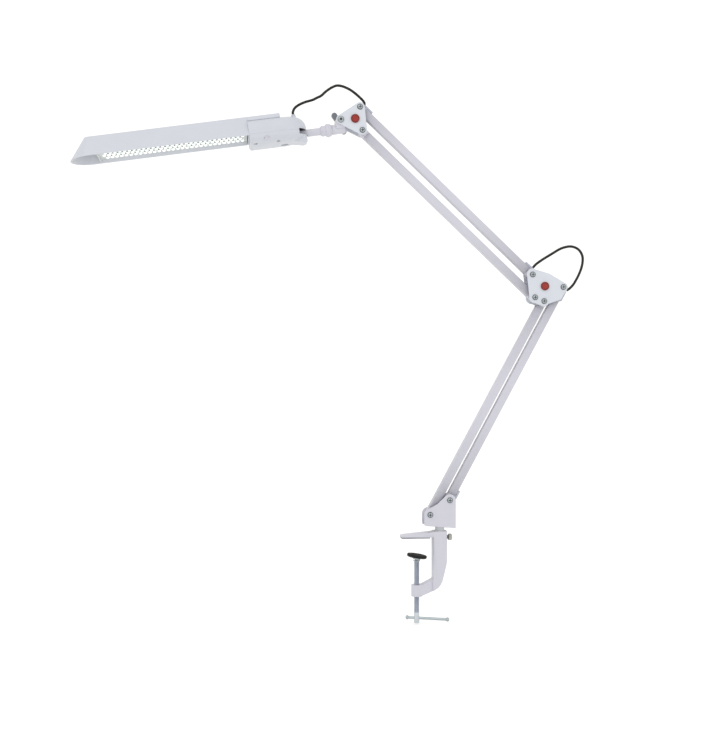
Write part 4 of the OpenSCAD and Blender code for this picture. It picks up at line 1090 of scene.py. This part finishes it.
class LAMP_OT_stage(bpy.types.Operator):
    """Lay the pale floor and set the soft lights"""
    bl_idname = "lamp.stage"
    bl_label = "Studio"

    def execute(self, context):
        studio = context.scene.lamp_studio
        low = CAD_BOX[0][2] - studio.floor_drop
        bm = bmesh.new()
        # Flat in front of and under the lamp, then curved up into a wall behind it
        near, bend_start, radius, wall, side = -3.2, 2.2, 0.9, 3.2, 4
        section = [(near, low), (bend_start, low)]
        section += bend(bend_start, low + radius, radius, -80, 0, 8)
        section += [(bend_start + radius, low + wall)]
        rows = [[bm.verts.new((x, y, z)) for y, z in section] for x in (-side, side)]
        for k in range(len(section) - 1):
            bm.faces.new((rows[0][k], rows[1][k], rows[1][k + 1], rows[0][k + 1]))
        mesh = bpy.data.meshes.new("studio_floor")
        bm.to_mesh(mesh)
        bm.free()
        mesh.shade_smooth()
        mesh.materials.append(self.floor_paper())
        floor = stood("studio_floor", mesh)

        self.world(studio.sky)
        for name, place, size, share in (("key", (-1.1, -1.6, 1.9), 1.6, 1.0),
                                         ("fill", (1.5, -1.5, 0.7), 1.4, 0.35)):
            lamp = bpy.data.lights.new(name, "AREA")
            lamp.energy, lamp.size = studio.key * share, size
            held = stood(name, lamp)
            held.location = place
            aim = Vector((0, 0, 0.35)) - Vector(place)
            held.rotation_euler = aim.to_track_quat("-Z", "Y").to_euler()
        context.scene.view_settings.view_transform = "Standard"
        return {"FINISHED"}

    def floor_paper(self):
        """White paper with a glow of its own, stronger to the camera, that keeps the shadow."""
        paper = Finish("studio_paper", roughness=0.9)
        paper.feed("base color", paper.between(paper.noise(3, 2), (0.80, 0.80, 0.785),
                                               (0.82, 0.82, 0.805)))
        seen = paper.node("ShaderNodeLightPath", out=0)
        glow = paper.node("ShaderNodeEmission", {"Color": (1, 1, 0.985), "Strength": 0.32})
        bounce = paper.node("ShaderNodeEmission", {"Color": (1, 1, 1), "Strength": 0.2})
        chosen = paper.node("ShaderNodeMixShader", {0: seen, 1: bounce, 2: glow})
        lit = Link(paper, paper.shader.outputs[0])
        paper.join(paper.node("ShaderNodeAddShader", {0: lit, 1: chosen}), paper.output.inputs[0])
        return paper.material

    def world(self, strength):
        """Even white light; the camera and reflections see it as plain white."""
        sky = bpy.data.worlds.new("soft_sky")
        sky.use_nodes = True
        tree = Tree(sky.node_tree)
        ray = sky.node_tree.nodes.new("ShaderNodeLightPath")
        direct, glossy, through = [Link(tree, ray.outputs[k]) for k in (
            "Is Camera Ray", "Is Glossy Ray", "Is Transmission Ray")]
        plain = direct + glossy + through
        even = tree.node("ShaderNodeBackground", {"Color": (1, 1, 1), "Strength": strength})
        white = tree.node("ShaderNodeBackground", {"Color": (1, 1, 0.985), "Strength": 1.0})
        mixed = tree.node("ShaderNodeMixShader", {0: plain, 1: even, 2: white})
        tree.node("ShaderNodeOutputWorld", {0: mixed})
        bpy.context.scene.world = sky


STEPS = (LAMP_OT_camera, LAMP_OT_cords, LAMP_OT_clamp, LAMP_OT_spindle, LAMP_OT_pad,
         LAMP_OT_lock_screw, LAMP_OT_brackets, LAMP_OT_fasteners, LAMP_OT_tubes, LAMP_OT_caps,
         LAMP_OT_neck, LAMP_OT_shade, LAMP_OT_gland, LAMP_OT_button, LAMP_OT_leds, LAMP_OT_stage)


class LAMP_PT_panel(bpy.types.Panel):
    """The lamp's sizes, colours and pieces"""
    bl_idname = "LAMP_PT_panel"
    bl_label = "Clamp lamp"
    bl_space_type = "VIEW_3D"
    bl_region_type = "UI"
    bl_category = "Lamp"

    def draw(self, context):
        for group in (context.scene.lamp_sizes, context.scene.lamp_colours,
                      context.scene.lamp_studio):
            box = self.layout.box()
            for key in group.__annotations__:
                box.prop(group, key)
        for step in STEPS:
            self.layout.operator(step.bl_idname)


CLASSES = (LampSizes, LampColours, LampStudio, *STEPS, LAMP_PT_panel)


def register():
    for each in CLASSES:
        bpy.utils.register_class(each)
    bpy.types.Scene.lamp_sizes = PointerProperty(type=LampSizes)
    bpy.types.Scene.lamp_colours = PointerProperty(type=LampColours)
    bpy.types.Scene.lamp_studio = PointerProperty(type=LampStudio)


def unregister():
    del bpy.types.Scene.lamp_sizes, bpy.types.Scene.lamp_colours, bpy.types.Scene.lamp_studio
    for each in reversed(CLASSES):
        bpy.utils.unregister_class(each)


def main():
    """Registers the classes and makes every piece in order."""
    register()
    for step in STEPS:
        group, name = step.bl_idname.split(".")
        getattr(getattr(bpy.ops, group), name)()


if __name__ == "__main__":
    main()
